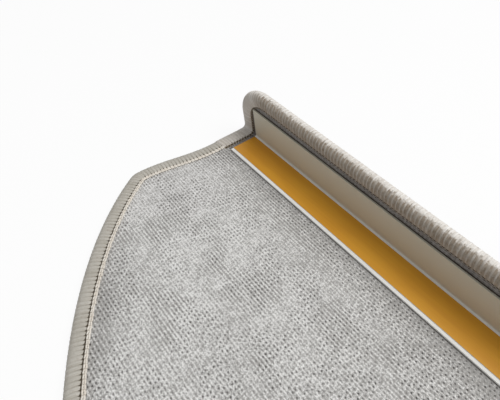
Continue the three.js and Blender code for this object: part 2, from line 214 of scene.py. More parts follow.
# The last field of YarnLook is painted shade on the back side of the yarn.
YarnLook = namedtuple("YarnLook", "fuzziness sheen valley soiling")


# Shape of the mat
def mirrored(points):
    """The same stretch of edge on the other half of the mat, in the order that carries on."""
    return [EdgePoint(-point.x, point.s, -point.nx, point.ns) for point in reversed(points)]


class FoldedMat:
    """The mat as cut flat, and the fold that turns its front edge up round the nosing profile.

    A flat point has a place x along the nosing, a depth s from the profile's corner and a height t
    above the pile face."""

    arc_step = math.radians(3)
    side_step = 0.0008
    flare_steps = 24
    back_steps = 150
    halvings = 50
    nudge = 0.0001

    def __init__(self, scene):
        self.cut = scene.mat_cut
        self.sheet = scene.mat_sheet
        self.binding = scene.mat_binding
        self.nosing = scene.mat_nosing
        sheet = self.sheet
        nosing = self.nosing
        self.backing_underside = sheet.pile + sheet.seat_gap
        self.sheet_top = self.backing_underside + sheet.backing
        self.edge_radius = (self.sheet_top + sheet.seat_gap + self.binding.wall) / 2
        self.fold_radius = nosing.inner_radius + nosing.wall + sheet.seat_gap
        self.fold_turn = math.pi / 2 + nosing.lean
        self.fold_length = self.fold_radius * self.fold_turn
        self.corner_to_fold = nosing.inner_radius / math.tan((math.pi - self.fold_turn) / 2)
        self.fold_height = self.sheet_top + self.fold_radius
        self.leg_top = self.fold_height - nosing.inner_radius
        self.lip_height = nosing.upright_leg + self.cut.lip_above_profile
        self.lip_edge = 2 * self.corner_to_fold - self.fold_length - self.lip_height
        fold_reach = self.fold_radius + self.sheet_top - self.corner_to_fold
        self.centre_depth = (self.cut.mat_depth - fold_reach) / 2
        self.nosing_half = self.cut.mat_length / 2 - self.cut.side_flare
        self.profile_half = self.nosing_half - nosing.end_margin
        self.profile_edge = 2 * self.corner_to_fold - self.fold_length - nosing.upright_leg
        self.seam = nosing.flat_leg + self.cut.seam_past_profile
        self.lip_half, self.tread_half = self.half_outline()
        self.half = self.lip_half + self.tread_half[1:]

    def folded(self, x, s, t):
        """Where a flat point lies on the folded mat."""
        into_fold = max(self.corner_to_fold - s, 0)
        turned = min(into_fold / self.fold_radius, self.fold_turn)
        radius = self.fold_radius + self.sheet_top - t
        on_tread = max(s - self.corner_to_fold, 0)
        up_lip = max(into_fold - self.fold_length, 0)
        y = self.corner_to_fold + on_tread - radius * math.sin(turned) - up_lip * math.cos(turned)
        z = self.fold_height - radius * math.cos(turned) + up_lip * math.sin(turned)
        return Vector((x, y - self.centre_depth, z))

    def frame(self, point, inset, height):
        """Place, outward direction and upward direction at an inset from the bound edge."""
        x = point.x - point.nx * inset
        s = point.s - point.ns * inset
        place = self.folded(x, s, height)
        outward = self.folded(x + point.nx * self.nudge, s + point.ns * self.nudge, height) - place
        upward = self.folded(x, s, height + self.nudge) - place
        return place, outward.normalized(), upward.normalized()

    def on_fold(self, s, margin):
        """Whether a depth lies on the fold, or within a margin of it."""
        return -margin < self.corner_to_fold - s < self.fold_length + margin

    def tread_width(self, point):
        return self.binding.tread_width

    def lip_width(self, point):
        """Width of the lip's yarn, which reaches further in along the sides than along the top."""
        side = abs(point.nx)
        return self.binding.lip_width * (1 - side) + self.binding.lip_side_width * side

    def on_back_curve(self, angle):
        half_axis = self.cut.mat_length / 2 + self.cut.curve_overhang
        depth_axis = self.cut.mat_depth - self.cut.curve_centre
        nx = math.cos(angle) / half_axis
        ns = math.sin(angle) / depth_axis
        length = math.hypot(nx, ns)
        x = half_axis * math.cos(angle)
        s = self.cut.curve_centre + depth_axis * math.sin(angle)
        return EdgePoint(x, s, nx / length, ns / length)

    def corner_joint_angle(self):
        """Angle on the back curve at which the round side corner runs into it."""
        radius = self.cut.side_corner
        centre_x = self.cut.mat_length / 2 - radius
        low = 0.0
        high = math.pi / 2
        for _ in range(self.halvings):
            middle = (low + high) / 2
            point = self.on_back_curve(middle)
            if point.x - radius * point.nx > centre_x:
                low = middle
            else:
                high = middle
        return low

    def round_corner(self, centre_x, centre_s, radius, start, end):
        steps = math.ceil(abs(end - start) / self.arc_step)
        points = []
        for i in range(steps + 1):
            angle = start + (end - start) * i / steps
            nx = math.cos(angle)
            ns = math.sin(angle)
            points.append(EdgePoint(centre_x + radius * nx, centre_s + radius * ns, nx, ns))
        return points

    def half_outline(self):
        """Right half of the bound edge: the middle of the lip to the seam, and on to the back."""
        cut = self.cut
        joint_angle = self.corner_joint_angle()
        joint = self.on_back_curve(joint_angle)
        corner_x = cut.mat_length / 2 - cut.side_corner
        corner_s = joint.s - cut.side_corner * joint.ns
        flare_start = self.seam + cut.seam_to_flare
        flare_rise = cut.mat_length / 2 - self.nosing_half
        flare_run = corner_s - flare_start

        lip_corner_x = self.nosing_half - cut.lip_corner
        lip_corner_s = self.lip_edge + cut.lip_corner
        lip = [EdgePoint(0.0, self.lip_edge, 0.0, -1.0)]
        lip += self.round_corner(lip_corner_x, lip_corner_s, cut.lip_corner, -math.pi / 2, 0)
        side_steps = round((self.seam - lip_corner_s) / self.side_step)
        for i in range(1, side_steps + 1):
            s = lip_corner_s + (self.seam - lip_corner_s) * i / side_steps
            lip.append(EdgePoint(self.nosing_half, s, 1.0, 0.0))

        tread = [lip[-1]]
        for i in range(self.flare_steps):
            along = i / self.flare_steps
            slope = flare_rise / flare_run * math.pi / 2 * math.sin(math.pi * along)
            length = math.hypot(1, slope)
            rise = flare_rise * (1 - math.cos(math.pi * along)) / 2
            s = flare_start + flare_run * along
            tread.append(EdgePoint(self.nosing_half + rise, s, 1 / length, -slope / length))
        tread += self.round_corner(
            corner_x, corner_s, cut.side_corner, 0, math.atan2(joint.ns, joint.nx)
        )
        for i in range(1, self.back_steps + 1):
            angle = joint_angle + (math.pi / 2 - joint_angle) * i / self.back_steps
            tread.append(self.on_back_curve(angle))
        return lip, tread

    def lip_run(self):
        """The bound edge of the lip, from one seam over the lip to the other."""
        return mirrored(self.lip_half[1:]) + self.lip_half

    def tread_run(self):
        """The bound edge of the tread, from one seam round the back to the other."""
        return self.tread_half + mirrored(self.tread_half[:-1])

    def half_width(self, s, inset):
        """Half length of the mat at depth s, measured an inset inside the bound edge."""
        width = 0.0
        for start, end in zip(self.half, self.half[1:]):
            start_s = start.s - inset * start.ns
            end_s = end.s - inset * end.ns
            if start_s < end_s and start_s <= s <= end_s:
                along = (s - start_s) / (end_s - start_s)
                start_x = start.x - inset * start.nx
                end_x = end.x - inset * end.nx
                width = max(width, start_x + (end_x - start_x) * along)
        return max(width, self.nudge)

    def edge_inset(self, t):
        """Inset of the sheets' edge at height t, inside the round nose of the binding."""
        nose_gap = self.sheet.seat_gap * math.sqrt(2)
        return self.binding.wall + nose_gap + abs(t - self.edge_radius)

    def flat_area(self, inset):
        """Area inside the bound edge, an inset from it."""
        depths = [point.s - inset * point.ns for point in self.half]
        widths = [point.x - inset * point.nx for point in self.half]
        area = 0.0
        for i in range(len(depths) - 1):
            area += (depths[i + 1] - depths[i]) * (widths[i] + widths[i + 1])
        return area


def along_run(run, places):
    """Points of a run of edge at the given lengths along it."""
    reach = [0.0]
    for start, end in zip(run, run[1:]):
        reach.append(reach[-1] + math.hypot(end.x - start.x, end.s - start.s))
    points = []
    index = 1
    for place in places:
        while index < len(run) - 1 and reach[index] < place:
            index += 1
        along = (place - reach[index - 1]) / max(reach[index] - reach[index - 1], 1e-9)
        start = run[index - 1]
        end = run[index]
        nx = start.nx + (end.nx - start.nx) * along
        ns = start.ns + (end.ns - start.ns) * along
        length = math.hypot(nx, ns)
        x = start.x + (end.x - start.x) * along
        s = start.s + (end.s - start.s) * along
        points.append(EdgePoint(x, s, nx / length, ns / length))
    return points


def run_length(run):
    return sum(math.hypot(end.x - start.x, end.s - start.s) for start, end in zip(run, run[1:]))


def stitches(run, pitch):
    """How many stitches fill a run of edge, and the length of each."""
    total = run_length(run)
    count = round(total / pitch)
    return count, total / count


# Meshes
sharp_edge = math.radians(35)


def add_piece(name, mesh, material):
    """Puts a finished mesh in the scene as a piece at the origin."""
    mesh.materials.clear()
    mesh.materials.append(material)
    piece = bpy.data.objects.new(name, mesh)
    bpy.context.scene.collection.objects.link(piece)
    return piece


def ring_mesh(name, rings, flat=None):
    """A closed mesh from rings of points, capped at both ends. flat is its map, point by point."""
    count = len(rings[0])
    points = [point for ring in rings for point in ring]
    faces = []
    for ring in range(len(rings) - 1):
        for i in range(count):
            a = ring * count + i
            b = ring * count + (i + 1) % count
            faces.append((a, b, b + count, a + count))
    last = (len(rings) - 1) * count
    faces.append(tuple(range(count - 1, -1, -1)))
    faces.append(tuple(range(last, last + count)))
    mesh = bpy.data.meshes.new(name)
    mesh.from_pydata(points, [], faces)
    if flat:
        layer = mesh.uv_layers.new(name="flat")
        for loop in mesh.loops:
            layer.data[loop.index].uv = flat[loop.vertex_index]
    work = bmesh.new()
    work.from_mesh(mesh)
    bmesh.ops.recalc_face_normals(work, faces=work.faces)
    work.to_mesh(mesh)
    work.free()
    mesh.polygons.foreach_set("use_smooth", [True] * len(mesh.polygons))
    mesh.set_sharp_from_angle(angle=sharp_edge)
    return mesh


def sheet_mesh(name, mat, depths, columns, upper, lower, draw=None, unevenness=0.0):
    """A closed sheet of the mat. upper gives the height of its back face at a depth."""
    rings = []
    flat = []
    for s in depths:
        height = upper(s)
        wide = mat.half_width(s, mat.edge_inset(height))
        narrow = mat.half_width(s, mat.edge_inset(lower))
        ring = []
        for column in range(columns + 1):
            x = wide * (2 * column / columns - 1)
            lift = draw.uniform(-unevenness, unevenness) if draw else 0.0
            ring.append((x, height + lift))
        ring += [(narrow, lower), (-narrow, lower)]
        rings.append([mat.folded(x, s, t) for x, t in ring])
        flat += [(x, s) for x, _ in ring]
    return ring_mesh(name, rings, flat)


def swept_edge(name, mat, run, pitch, width_at, section):
    """A section swept along a run of the edge, a ring at every needle hole.

    A section holds the place past the needle line, or None and the inset from the edge, and a
    height. Its flat map counts stitches along the run, and metres past the needle line."""
    count, step = stitches(run, pitch)
    points = along_run(run, [step * i for i in range(count + 1)])
    rings = []
    flat = []
    for i, point in enumerate(points):
        width = width_at(point)
        ring = []
        for past, inset, height in section:
            inset = inset if past is None else width + past
            ring.append(mat.folded(point.x - point.nx * inset, point.s - point.ns * inset, height))
            flat.append((i, inset - width))
        rings.append(ring)
    return ring_mesh(name, rings, flat)


# Nodes
class Value:
    """One output of a node. Python's operators on it add Math nodes to its tree."""

    def __init__(self, web, socket):
        self.web = web
        self.socket = socket

    def output(self, name):
        return Value(self.web, self.socket.node.outputs[name])

    def __add__(self, other):
        return self.web.math("ADD", self, other)

    def __radd__(self, other):
        return self.web.math("ADD", other, self)

    def __sub__(self, other):
        return self.web.math("SUBTRACT", self, other)

    def __rsub__(self, other):
        return self.web.math("SUBTRACT", other, self)

    def __mul__(self, other):
        return self.web.math("MULTIPLY", self, other)

    def __rmul__(self, other):
        return self.web.math("MULTIPLY", other, self)

    def __truediv__(self, other):
        return self.web.math("DIVIDE", self, other)


class Web:
    """Adds nodes to one tree. A socket takes a number, a colour, a vector or a Value."""

    def __init__(self, tree):
        self.tree = tree

    def add(self, kind, settings=None, values=None):
        node = self.tree.nodes.new(kind)
        for name, setting in (settings or {}).items():
            setattr(node, name, setting)
        for name, value in (values or {}).items():
            if isinstance(value, Value):
                self.tree.links.new(value.socket, node.inputs[name])
            else:
                node.inputs[name].default_value = value
        return Value(self, node.outputs[0]) if node.outputs else None

    def math(self, operation, *values):
        return self.add("ShaderNodeMath", {"operation": operation}, dict(enumerate(values)))

    def ramp(self, value, low, high):
        """0 below low, 1 above high, a smooth rise between, and a fall where low is above high."""
        return self.add(
            "ShaderNodeMapRange",
            {"interpolation_type": "SMOOTHSTEP"},
            {"Value": value, "From Min": low, "From Max": high},
        )

    def vector(self, x, y, z):
        return self.add("ShaderNodeCombineXYZ", {}, {"X": x, "Y": y, "Z": z})

    def parts(self, vector):
        split = self.add("ShaderNodeSeparateXYZ", {}, {0: vector})
        return split, split.output("Y"), split.output("Z")

    def background_seen(self):
        """1 for a ray that shows the plain background: the camera's, a mirror's or glass's."""
        ray = self.add("ShaderNodeLightPath")
        seen = self.math("MAXIMUM", ray.output("Is Camera Ray"), ray.output("Is Glossy Ray"))
        return self.math("MAXIMUM", seen, ray.output("Is Transmission Ray"))

    def blend(self, factor, first, second):
        """Mixes two colours."""
        node = self.tree.nodes.new("ShaderNodeMix")
        node.data_type = "RGBA"
        for index, value in ((0, factor), (6, first), (7, second)):
            if isinstance(value, Value):
                self.tree.links.new(value.socket, node.inputs[index])
            else:
                node.inputs[index].default_value = value
        return Value(self, node.outputs[2])


def opaque(colour):
    return (*colour, 1.0)


# Materials
class Finish(Web):
    """A material under construction."""

    def __init__(self, name):
        self.material = bpy.data.materials.new(name)
        self.material.use_nodes = True
        super().__init__(self.material.node_tree)
        self.tree.nodes.clear()

    def place(self):
        return self.add("ShaderNodeTexCoord").output("Object")

    def attribute(self, name):
        return self.add("ShaderNodeAttribute", {"attribute_name": name}).output("Fac")

    def noise(self, vector, scale, detail=2.0, roughness=0.5):
        values = {"Vector": vector, "Scale": scale, "Detail": detail, "Roughness": roughness}
        return self.add("ShaderNodeTexNoise", {}, values)

    def stretched(self, vector, x, y, z):
        """The same vector with its parts scaled."""
        return self.add(
            "ShaderNodeVectorMath", {"operation": "MULTIPLY"}, {0: vector, 1: (x, y, z)}
        )

    def chance(self, vector):
        """A random number from 0 to 1 for each value of the vector."""
        return self.add("ShaderNodeTexWhiteNoise", {"noise_dimensions": "3D"}, {"Vector": vector})

    def bump(self, height, distance, strength=1.0):
        values = {"Height": height, "Distance": distance, "Strength": strength}
        return self.add("ShaderNodeBump", {}, values)

    def done(self, values):
        shader = self.add("ShaderNodeBsdfPrincipled", {}, values)
        self.add("ShaderNodeOutputMaterial", {}, {"Surface": shader})
        return self.material


def backing_cloth(mat):
    """Open woven back: rows of light weft, holes in pairs of rows, and a fuzzy, patchy surface.
    It is drawn more open along its rim, beside the flat leg and toward the middle, where painted
    shade also darkens it; a broader painted shadow of the lip lies beside the flat leg, and painted
    shade lies deep round the profile."""
    hole_high = 0.30
    hole_wide = 0.21
    rim_depths = (0.1, 0.15)
    rim_reach = (0.06, 0.004)
    midway_reach = (0.24, 0.06)
    leg_reach = 0.012
    lip_shadow_reach = 0.045
    lip_reach = 0.004
    end_reach = 0.0008
    sheet = mat.sheet
    nosing = mat.nosing
    finish = Finish("backing_cloth")
    flat = finish.add("ShaderNodeUVMap", {"uv_map": "flat"})
    x, s, _ = finish.parts(flat)
    row = s / sheet.weft_pitch
    row_number = finish.math("FLOOR", row)
    in_row = finish.math("FRACT", row)
    pair = finish.math("FLOOR", row_number / 2)
    shift = finish.math("MODULO", pair, 2) * 0.5
    wander = finish.noise(flat, 90, 1.0) * 0.7
    column = (x + s * sheet.weave_skew) / sheet.hole_pitch + shift + wander
    column_number = finish.math("FLOOR", column)
    in_column = finish.math("FRACT", column)

    up = (in_row - 0.5) / hole_high
    side = (in_column - 0.5) / hole_wide
    away = finish.math("SQRT", up * up + side * side)
    hole = finish.ramp(away, 1.25, 0.35)
    hole_chance = finish.chance(finish.vector(column_number, row_number, 3))
    # Along the rim, beside the flat leg and toward the middle the weave is drawn more open, with
    # more holes, and darker; the darkening is painted shade.
    rim = finish.ramp(finish.attribute("rim"), *rim_reach) * finish.ramp(s, *rim_depths)
    beside_leg = finish.ramp(s, nosing.flat_leg + leg_reach, nosing.flat_leg)
    midway = finish.ramp(finish.math("ABSOLUTE", x), *midway_reach)
    openness_and_shade = rim * 0.36 + beside_leg * 0.24 + midway * 0.15
    patch = finish.ramp(finish.noise(flat, 55, 2.0) + openness_and_shade, 0.38, 0.64)
    depth = hole * (0.25 + 0.75 * patch) * (0.35 + 0.65 * hole_chance)

    half_column = finish.math("FLOOR", column * 2)
    yarn_chance = finish.chance(finish.vector(half_column, row_number, 7))
    # Painted light and shade of the weave's relief: crests and posts are drawn lighter, the furrows
    # between rows darker in patches.
    crest = finish.math("COSINE", row * (2 * math.pi)) * 0.5 + 0.5
    post = finish.math("COSINE", column * (4 * math.pi)) * 0.5 + 0.5
    fuzz = finish.noise(finish.stretched(flat, 1, 1.4, 1), 1000, 3.0, 0.7)
    furrow = (1 - crest) * finish.ramp(finish.noise(flat, 42, 2.0), 0.5, 0.66)
    float_yarn = finish.noise(finish.stretched(flat, 0.22, 1, 1), 900, 2.0)
    cloud = finish.noise(flat, 22, 2.0)
    tone = crest * 0.24 + post * 0.2 + yarn_chance * 0.4
    tone += (fuzz - 0.5) * 3.2 + (float_yarn - 0.5) * 0.7 + (cloud - 0.5) * 0.36
    # Painted shadow of the lip: a broad darkening of the back beside the flat leg.
    lip_shadow_near_leg = finish.ramp(s, nosing.flat_leg + lip_shadow_reach, nosing.flat_leg)
    tone -= openness_and_shade + furrow * 0.4 + lip_shadow_near_leg * 0.15
    yarn = finish.blend(
        finish.ramp(tone, -0.2, 1.0), opaque(sheet.backing_tone), opaque(sheet.backing_light)
    )
    woven = finish.blend(depth, yarn, opaque(sheet.backing_hole))

    on_lip = finish.ramp(s, 0.0, -lip_reach)
    past_end = finish.math("ABSOLUTE", x) - mat.profile_half
    past_top = -1 * (s - mat.profile_edge)
    past_leg = s - nosing.flat_leg
    past_profile = finish.math("MAXIMUM", past_end, finish.math("MAXIMUM", past_top, past_leg))
    crevice = finish.ramp(past_profile, end_reach, end_reach / 2) * (0.45 + 0.55 * on_lip)
    beside_end = finish.ramp(past_end, -end_reach / 4, end_reach)
    beside_end *= finish.ramp(s, mat.seam, mat.seam - lip_reach)
    shade = finish.math("MAXIMUM", crevice, beside_end * (0.5 + 0.35 * on_lip))
    shade = finish.math("MAXIMUM", shade, on_lip * 0.5)
    colour = finish.blend(shade, woven, opaque(nosing.recess))
    height = crest * 0.5 + post * 0.25 + yarn_chance * 0.2 + fuzz * 0.5 - depth * 1.2
    return finish.done({
        "Base Color": colour,
        "Roughness": 0.9,
        "Sheen Weight": 0.15,
        "Sheen Roughness": 0.6,
        "Specular IOR Level": 0.25,
        "Normal": finish.bump(height, 0.00035, 0.7),
    })


def pile_yarn(sheet):
    """Looped pile: each tuft a little lighter or darker, with painted shade towards its foot,
    between the tufts.
    """
    finish = Finish("pile_yarn")
    place = finish.place()
    tuft = finish.attribute("strand")
    crown = finish.attribute("crown")
    fibre = finish.noise(finish.stretched(place, 1, 1.6, 1), 1800, 3.0, 0.7)
    cloud = finish.noise(place, 30, 2.0)
    # Painted shade: each tuft darkens towards its foot, where it meets the others.
    tone = crown * 0.62 + tuft * 0.3 + (fibre - 0.5) * 0.7 + (cloud - 0.5) * 0.3
    colour = finish.blend(
        finish.ramp(tone, 0.0, 1.0), opaque(sheet.pile_dark), opaque(sheet.pile_light)
    )
    return finish.done({
        "Base Color": colour,
        "Roughness": 0.92,
        "Sheen Weight": 0.25,
        "Sheen Roughness": 0.5,
        "Specular IOR Level": 0.2,
        "Normal": finish.bump(fibre, 0.0006, 0.6),
    })


def carpet_ground(sheet):
    """The carpet's own ground weave, seen only between the tufts."""
    finish = Finish("carpet_ground")
    place = finish.place()
    thread = finish.noise(finish.stretched(place, 1, 3, 1), 900, 2.0)
    colour = finish.blend(thread, opaque(sheet.pile_dark), opaque(sheet.backing_hole))
    return finish.done({
        "Base Color": colour,
        "Roughness": 0.95,
        "Specular IOR Level": 0.2,
        "Normal": finish.bump(thread, 0.0003, 0.6),
    })


def binding_yarn(name, binding, light, tone, look):
    """Strands of yarn: each one its own tone, streaked and fuzzy, with painted shade between two
    stitches, in the gaps between strands and at the ends that sink into the needle holes.
    Its back side carries painted shade, less along the sides of the lip, where the yarn reaches
    further."""
    side_extra = 0.0012
    finish = Finish(name)
    place = finish.place()
    strand = finish.attribute("strand")
    along = finish.attribute("along")
    flank = finish.attribute("flank")
    at_side = finish.ramp(finish.attribute("extra"), 0.0, side_extra)
    on_back = (0.5 - along) * 2
    sunk = finish.ramp(finish.math("ABSOLUTE", on_back), 0.965, 1.0)
    streak = finish.noise(finish.vector(strand * 90, along * 9, 0.0), 1.0, 2.0)
    fibre = finish.noise(place, 1600, 3.0, 0.65)
    cloud = finish.noise(place, 70, 2.0)
    level = strand * 0.3 + (streak - 0.5) * 0.9 + 0.4
    level += (fibre - 0.5) * look.fuzziness + (cloud - 0.5) * 0.5
    # Painted shade: the outer strands of each stitch and the gaps between strands are drawn darker,
    # and so are the strand ends that sink into the needle holes.
    valley = flank * look.valley
    yarn = finish.blend(finish.ramp(level - valley, 0.0, 1.0), opaque(tone), opaque(light))
    gap = finish.ramp(streak + valley, 0.62, 1.0) * 0.5
    # Painted shade on the back side of the yarn, streaky, less along the sides of the lip.
    streaky_edge = on_back + (streak - 0.5) * 0.6 + (fibre - 0.5) * 0.3
    strokes = 0.88 + flank * 0.24 + (streak - 0.5) * 0.9
    shaded_back = finish.ramp(streaky_edge, -0.02, 0.2) * look.soiling
    flat_side = shaded_back * (1 - 0.6 * at_side) * strokes
    dark = finish.math("MAXIMUM", sunk, finish.math("MAXIMUM", gap, flat_side))
    colour = finish.blend(dark, yarn, opaque(binding.yarn_deep))
    return finish.done({
        "Base Color": colour,
        "Roughness": 0.72,
        "Sheen Weight": look.sheen,
        "Sheen Roughness": 0.45,
        "Specular IOR Level": 0.3,
        "Normal": finish.bump(fibre, 0.00018, 0.6),
    })


def binding_bed(name, binding, needle_line, slit_along, slit_across):
    """The bed of yarn under the strands, drawn darker than the strands as painted shade in the gaps
    between them, with painted shade on its foot and where two stitches part at the needle line, and
    a needle hole for each stitch on its foot."""
    shade_reach = 0.0006
    parting_reach = 0.0016
    finish = Finish(name)
    flat = finish.add("ShaderNodeUVMap", {"uv_map": "flat"})
    stitch, past, _ = finish.parts(flat)
    place = finish.place()
    wave = (finish.noise(place, 60, 1.0) - 0.5) * shade_reach
    from_middle = finish.math("FRACT", stitch) - 0.5
    from_hole = from_middle / slit_along
    from_line = (past - needle_line + wave) / slit_across
    away = finish.math("SQRT", from_hole * from_hole + from_line * from_line)
    hole = finish.ramp(away, 1.2, 0.6)
    # Painted shade where two stitches part at the needle line, and over the bed's foot.
    between = finish.ramp(finish.math("ABSOLUTE", from_middle), 0.1, 0.3)
    parting = between * finish.ramp(past, -parting_reach, -shade_reach)
    parting *= finish.ramp(past, shade_reach, shade_reach / 3)
    fibre = finish.noise(place, 1500, 3.0, 0.65)
    bed = finish.blend(fibre, opaque(binding.yarn_deep), opaque(binding.tread_tone))
    shade = finish.ramp(past, -shade_reach, shade_reach / 6) * 0.7
    yarn = finish.blend(shade, bed, opaque(binding.yarn_deep))
    dark = finish.math("MAXIMUM", hole, parting * 0.85)
    colour = finish.blend(dark, yarn, opaque(binding.hole_tint))
    return finish.done({
        "Base Color": colour,
        "Roughness": 0.85,
        "Specular IOR Level": 0.2,
        "Normal": finish.bump(fibre - hole, 0.0002, 0.7),
    })


def sewing_thread(binding):
    """Cream thread with a fine twist, with painted shade where one link crosses the next."""
    warm_cream = (0.76, 0.66, 0.54, 1.0)
    finish = Finish("sewing_thread")
    place = finish.place()
    link = finish.attribute("strand")
    twist = finish.noise(place, 2200, 2.0)
    warm = finish.blend(link * 0.35, opaque(binding.chain_tint), warm_cream)
    twisted = finish.ramp(twist, 0.35, 0.75) * 0.25
    thread = finish.blend(twisted, warm, opaque(binding.tread_light))
    # Painted shade where one link lies on the next.
    crossing = finish.ramp(finish.attribute("crossing"), 0.7, 1.0)
    colour = finish.blend(crossing * 0.6, thread, opaque(binding.yarn_deep))
    return finish.done({
        "Base Color": colour,
        "Roughness": 0.5,
        "Sheen Weight": 0.2,
        "Specular IOR Level": 0.4,
        "Normal": finish.bump(twist, 0.0001, 0.5),
    })


def profile_plastic(mat):
    """Extruded plastic: satin, with faint die lines along its length and dull scuffs. The flat leg
    is painted whiter than the upright one: painted light, as if the flat leg faced the lamp and the
    upright stood in shade."""
    change_reach = 0.0016
    dullness = 0.93
    nosing = mat.nosing
    finish = Finish("profile_plastic")
    place = finish.place()
    _, _, z = finish.parts(place)
    # Painted light: the flat leg takes the white tint, the upright leg the plain one.
    flat_leg = finish.ramp(z, mat.leg_top + change_reach, mat.leg_top + change_reach / 8)
    line = finish.noise(finish.stretched(place, 0.01, 1, 1), 1900, 2.0)
    haze = finish.noise(finish.stretched(place, 0.3, 1, 1), 60, 3.0)
    scratches = finish.noise(finish.stretched(place, 0.2, 1.4, 1), 420, 4.0, 0.7)
    scuff = finish.ramp(scratches, 0.62, 0.75)
    dull = opaque([level * dullness for level in nosing.plastic])
    plastic = finish.blend(flat_leg, opaque(nosing.plastic), opaque(nosing.clean))
    colour = finish.blend(line * 0.35 + haze * 0.3 + scuff * 0.25, plastic, dull)
    return finish.done({
        "Base Color": colour,
        "Roughness": 0.42 + 0.16 * haze + 0.12 * scuff,
        "Specular IOR Level": 0.45,
        "Normal": finish.bump(line, 0.00003, 0.5),
    })


def adhesive_film(nosing):
    """Milky pressure-sensitive adhesive, with small bubbles pressed into it."""
    dullness = 0.86
    finish = Finish("adhesive_film")
    place = finish.place()
    cell = finish.add("ShaderNodeTexVoronoi", {}, {"Vector": place, "Scale": 700.0})
    bubble = finish.ramp(cell, 0.28, 0.1)
    haze = finish.noise(place, 120, 3.0)
    dull = opaque([level * dullness for level in nosing.adhesive])
    colour = finish.blend(haze * 0.5 + bubble * 0.3, opaque(nosing.adhesive), dull)
    return finish.done({
        "Base Color": colour,
        "Roughness": 0.35 + 0.25 * haze,
        "Normal": finish.bump(bubble, 0.00005, 0.5),
    })


def liner_film(nosing):
    """Amber glassine liner: satin coat, faint rolling streaks and a fine orange peel."""
    finish = Finish("liner_film")
    place = finish.place()
    streak = finish.noise(finish.stretched(place, 0.06, 1, 1), 380, 2.0)
    cloud = finish.noise(finish.stretched(place, 0.5, 1, 1), 38, 2.0)
    peel = finish.noise(place, 2400, 2.0)
    tone = streak * 0.45 + cloud * 0.65
    colour = finish.blend(
        finish.ramp(tone, 0.3, 0.85), opaque(nosing.amber), opaque(nosing.amber_deep)
    )
    return finish.done({
        "Base Color": colour,
        "Roughness": 0.38 + 0.12 * streak,
        "Specular IOR Level": 0.4,
        "Coat Weight": 0.15,
        "Coat Roughness": 0.25,
        "Normal": finish.bump(peel, 0.00002, 0.4),
    })


def floor_paint(stage):
    """Pale floor that the camera sees close to white, with the object's shadow kept on it."""
    finish = Finish("floor_paint")
    paint = finish.add("ShaderNodeBsdfDiffuse", {}, {"Color": opaque(stage.floor_tint)})
    glow = finish.add("ShaderNodeEmission", {}, {"Color": (1, 1, 1, 1), "Strength": 1.0})
    mixed = finish.add("ShaderNodeMixShader", {}, {
        0: finish.background_seen() * stage.floor_glow,
        1: paint,
        2: glow,
    })
    finish.add("ShaderNodeOutputMaterial", {}, {"Surface": mixed})
    return finish.material


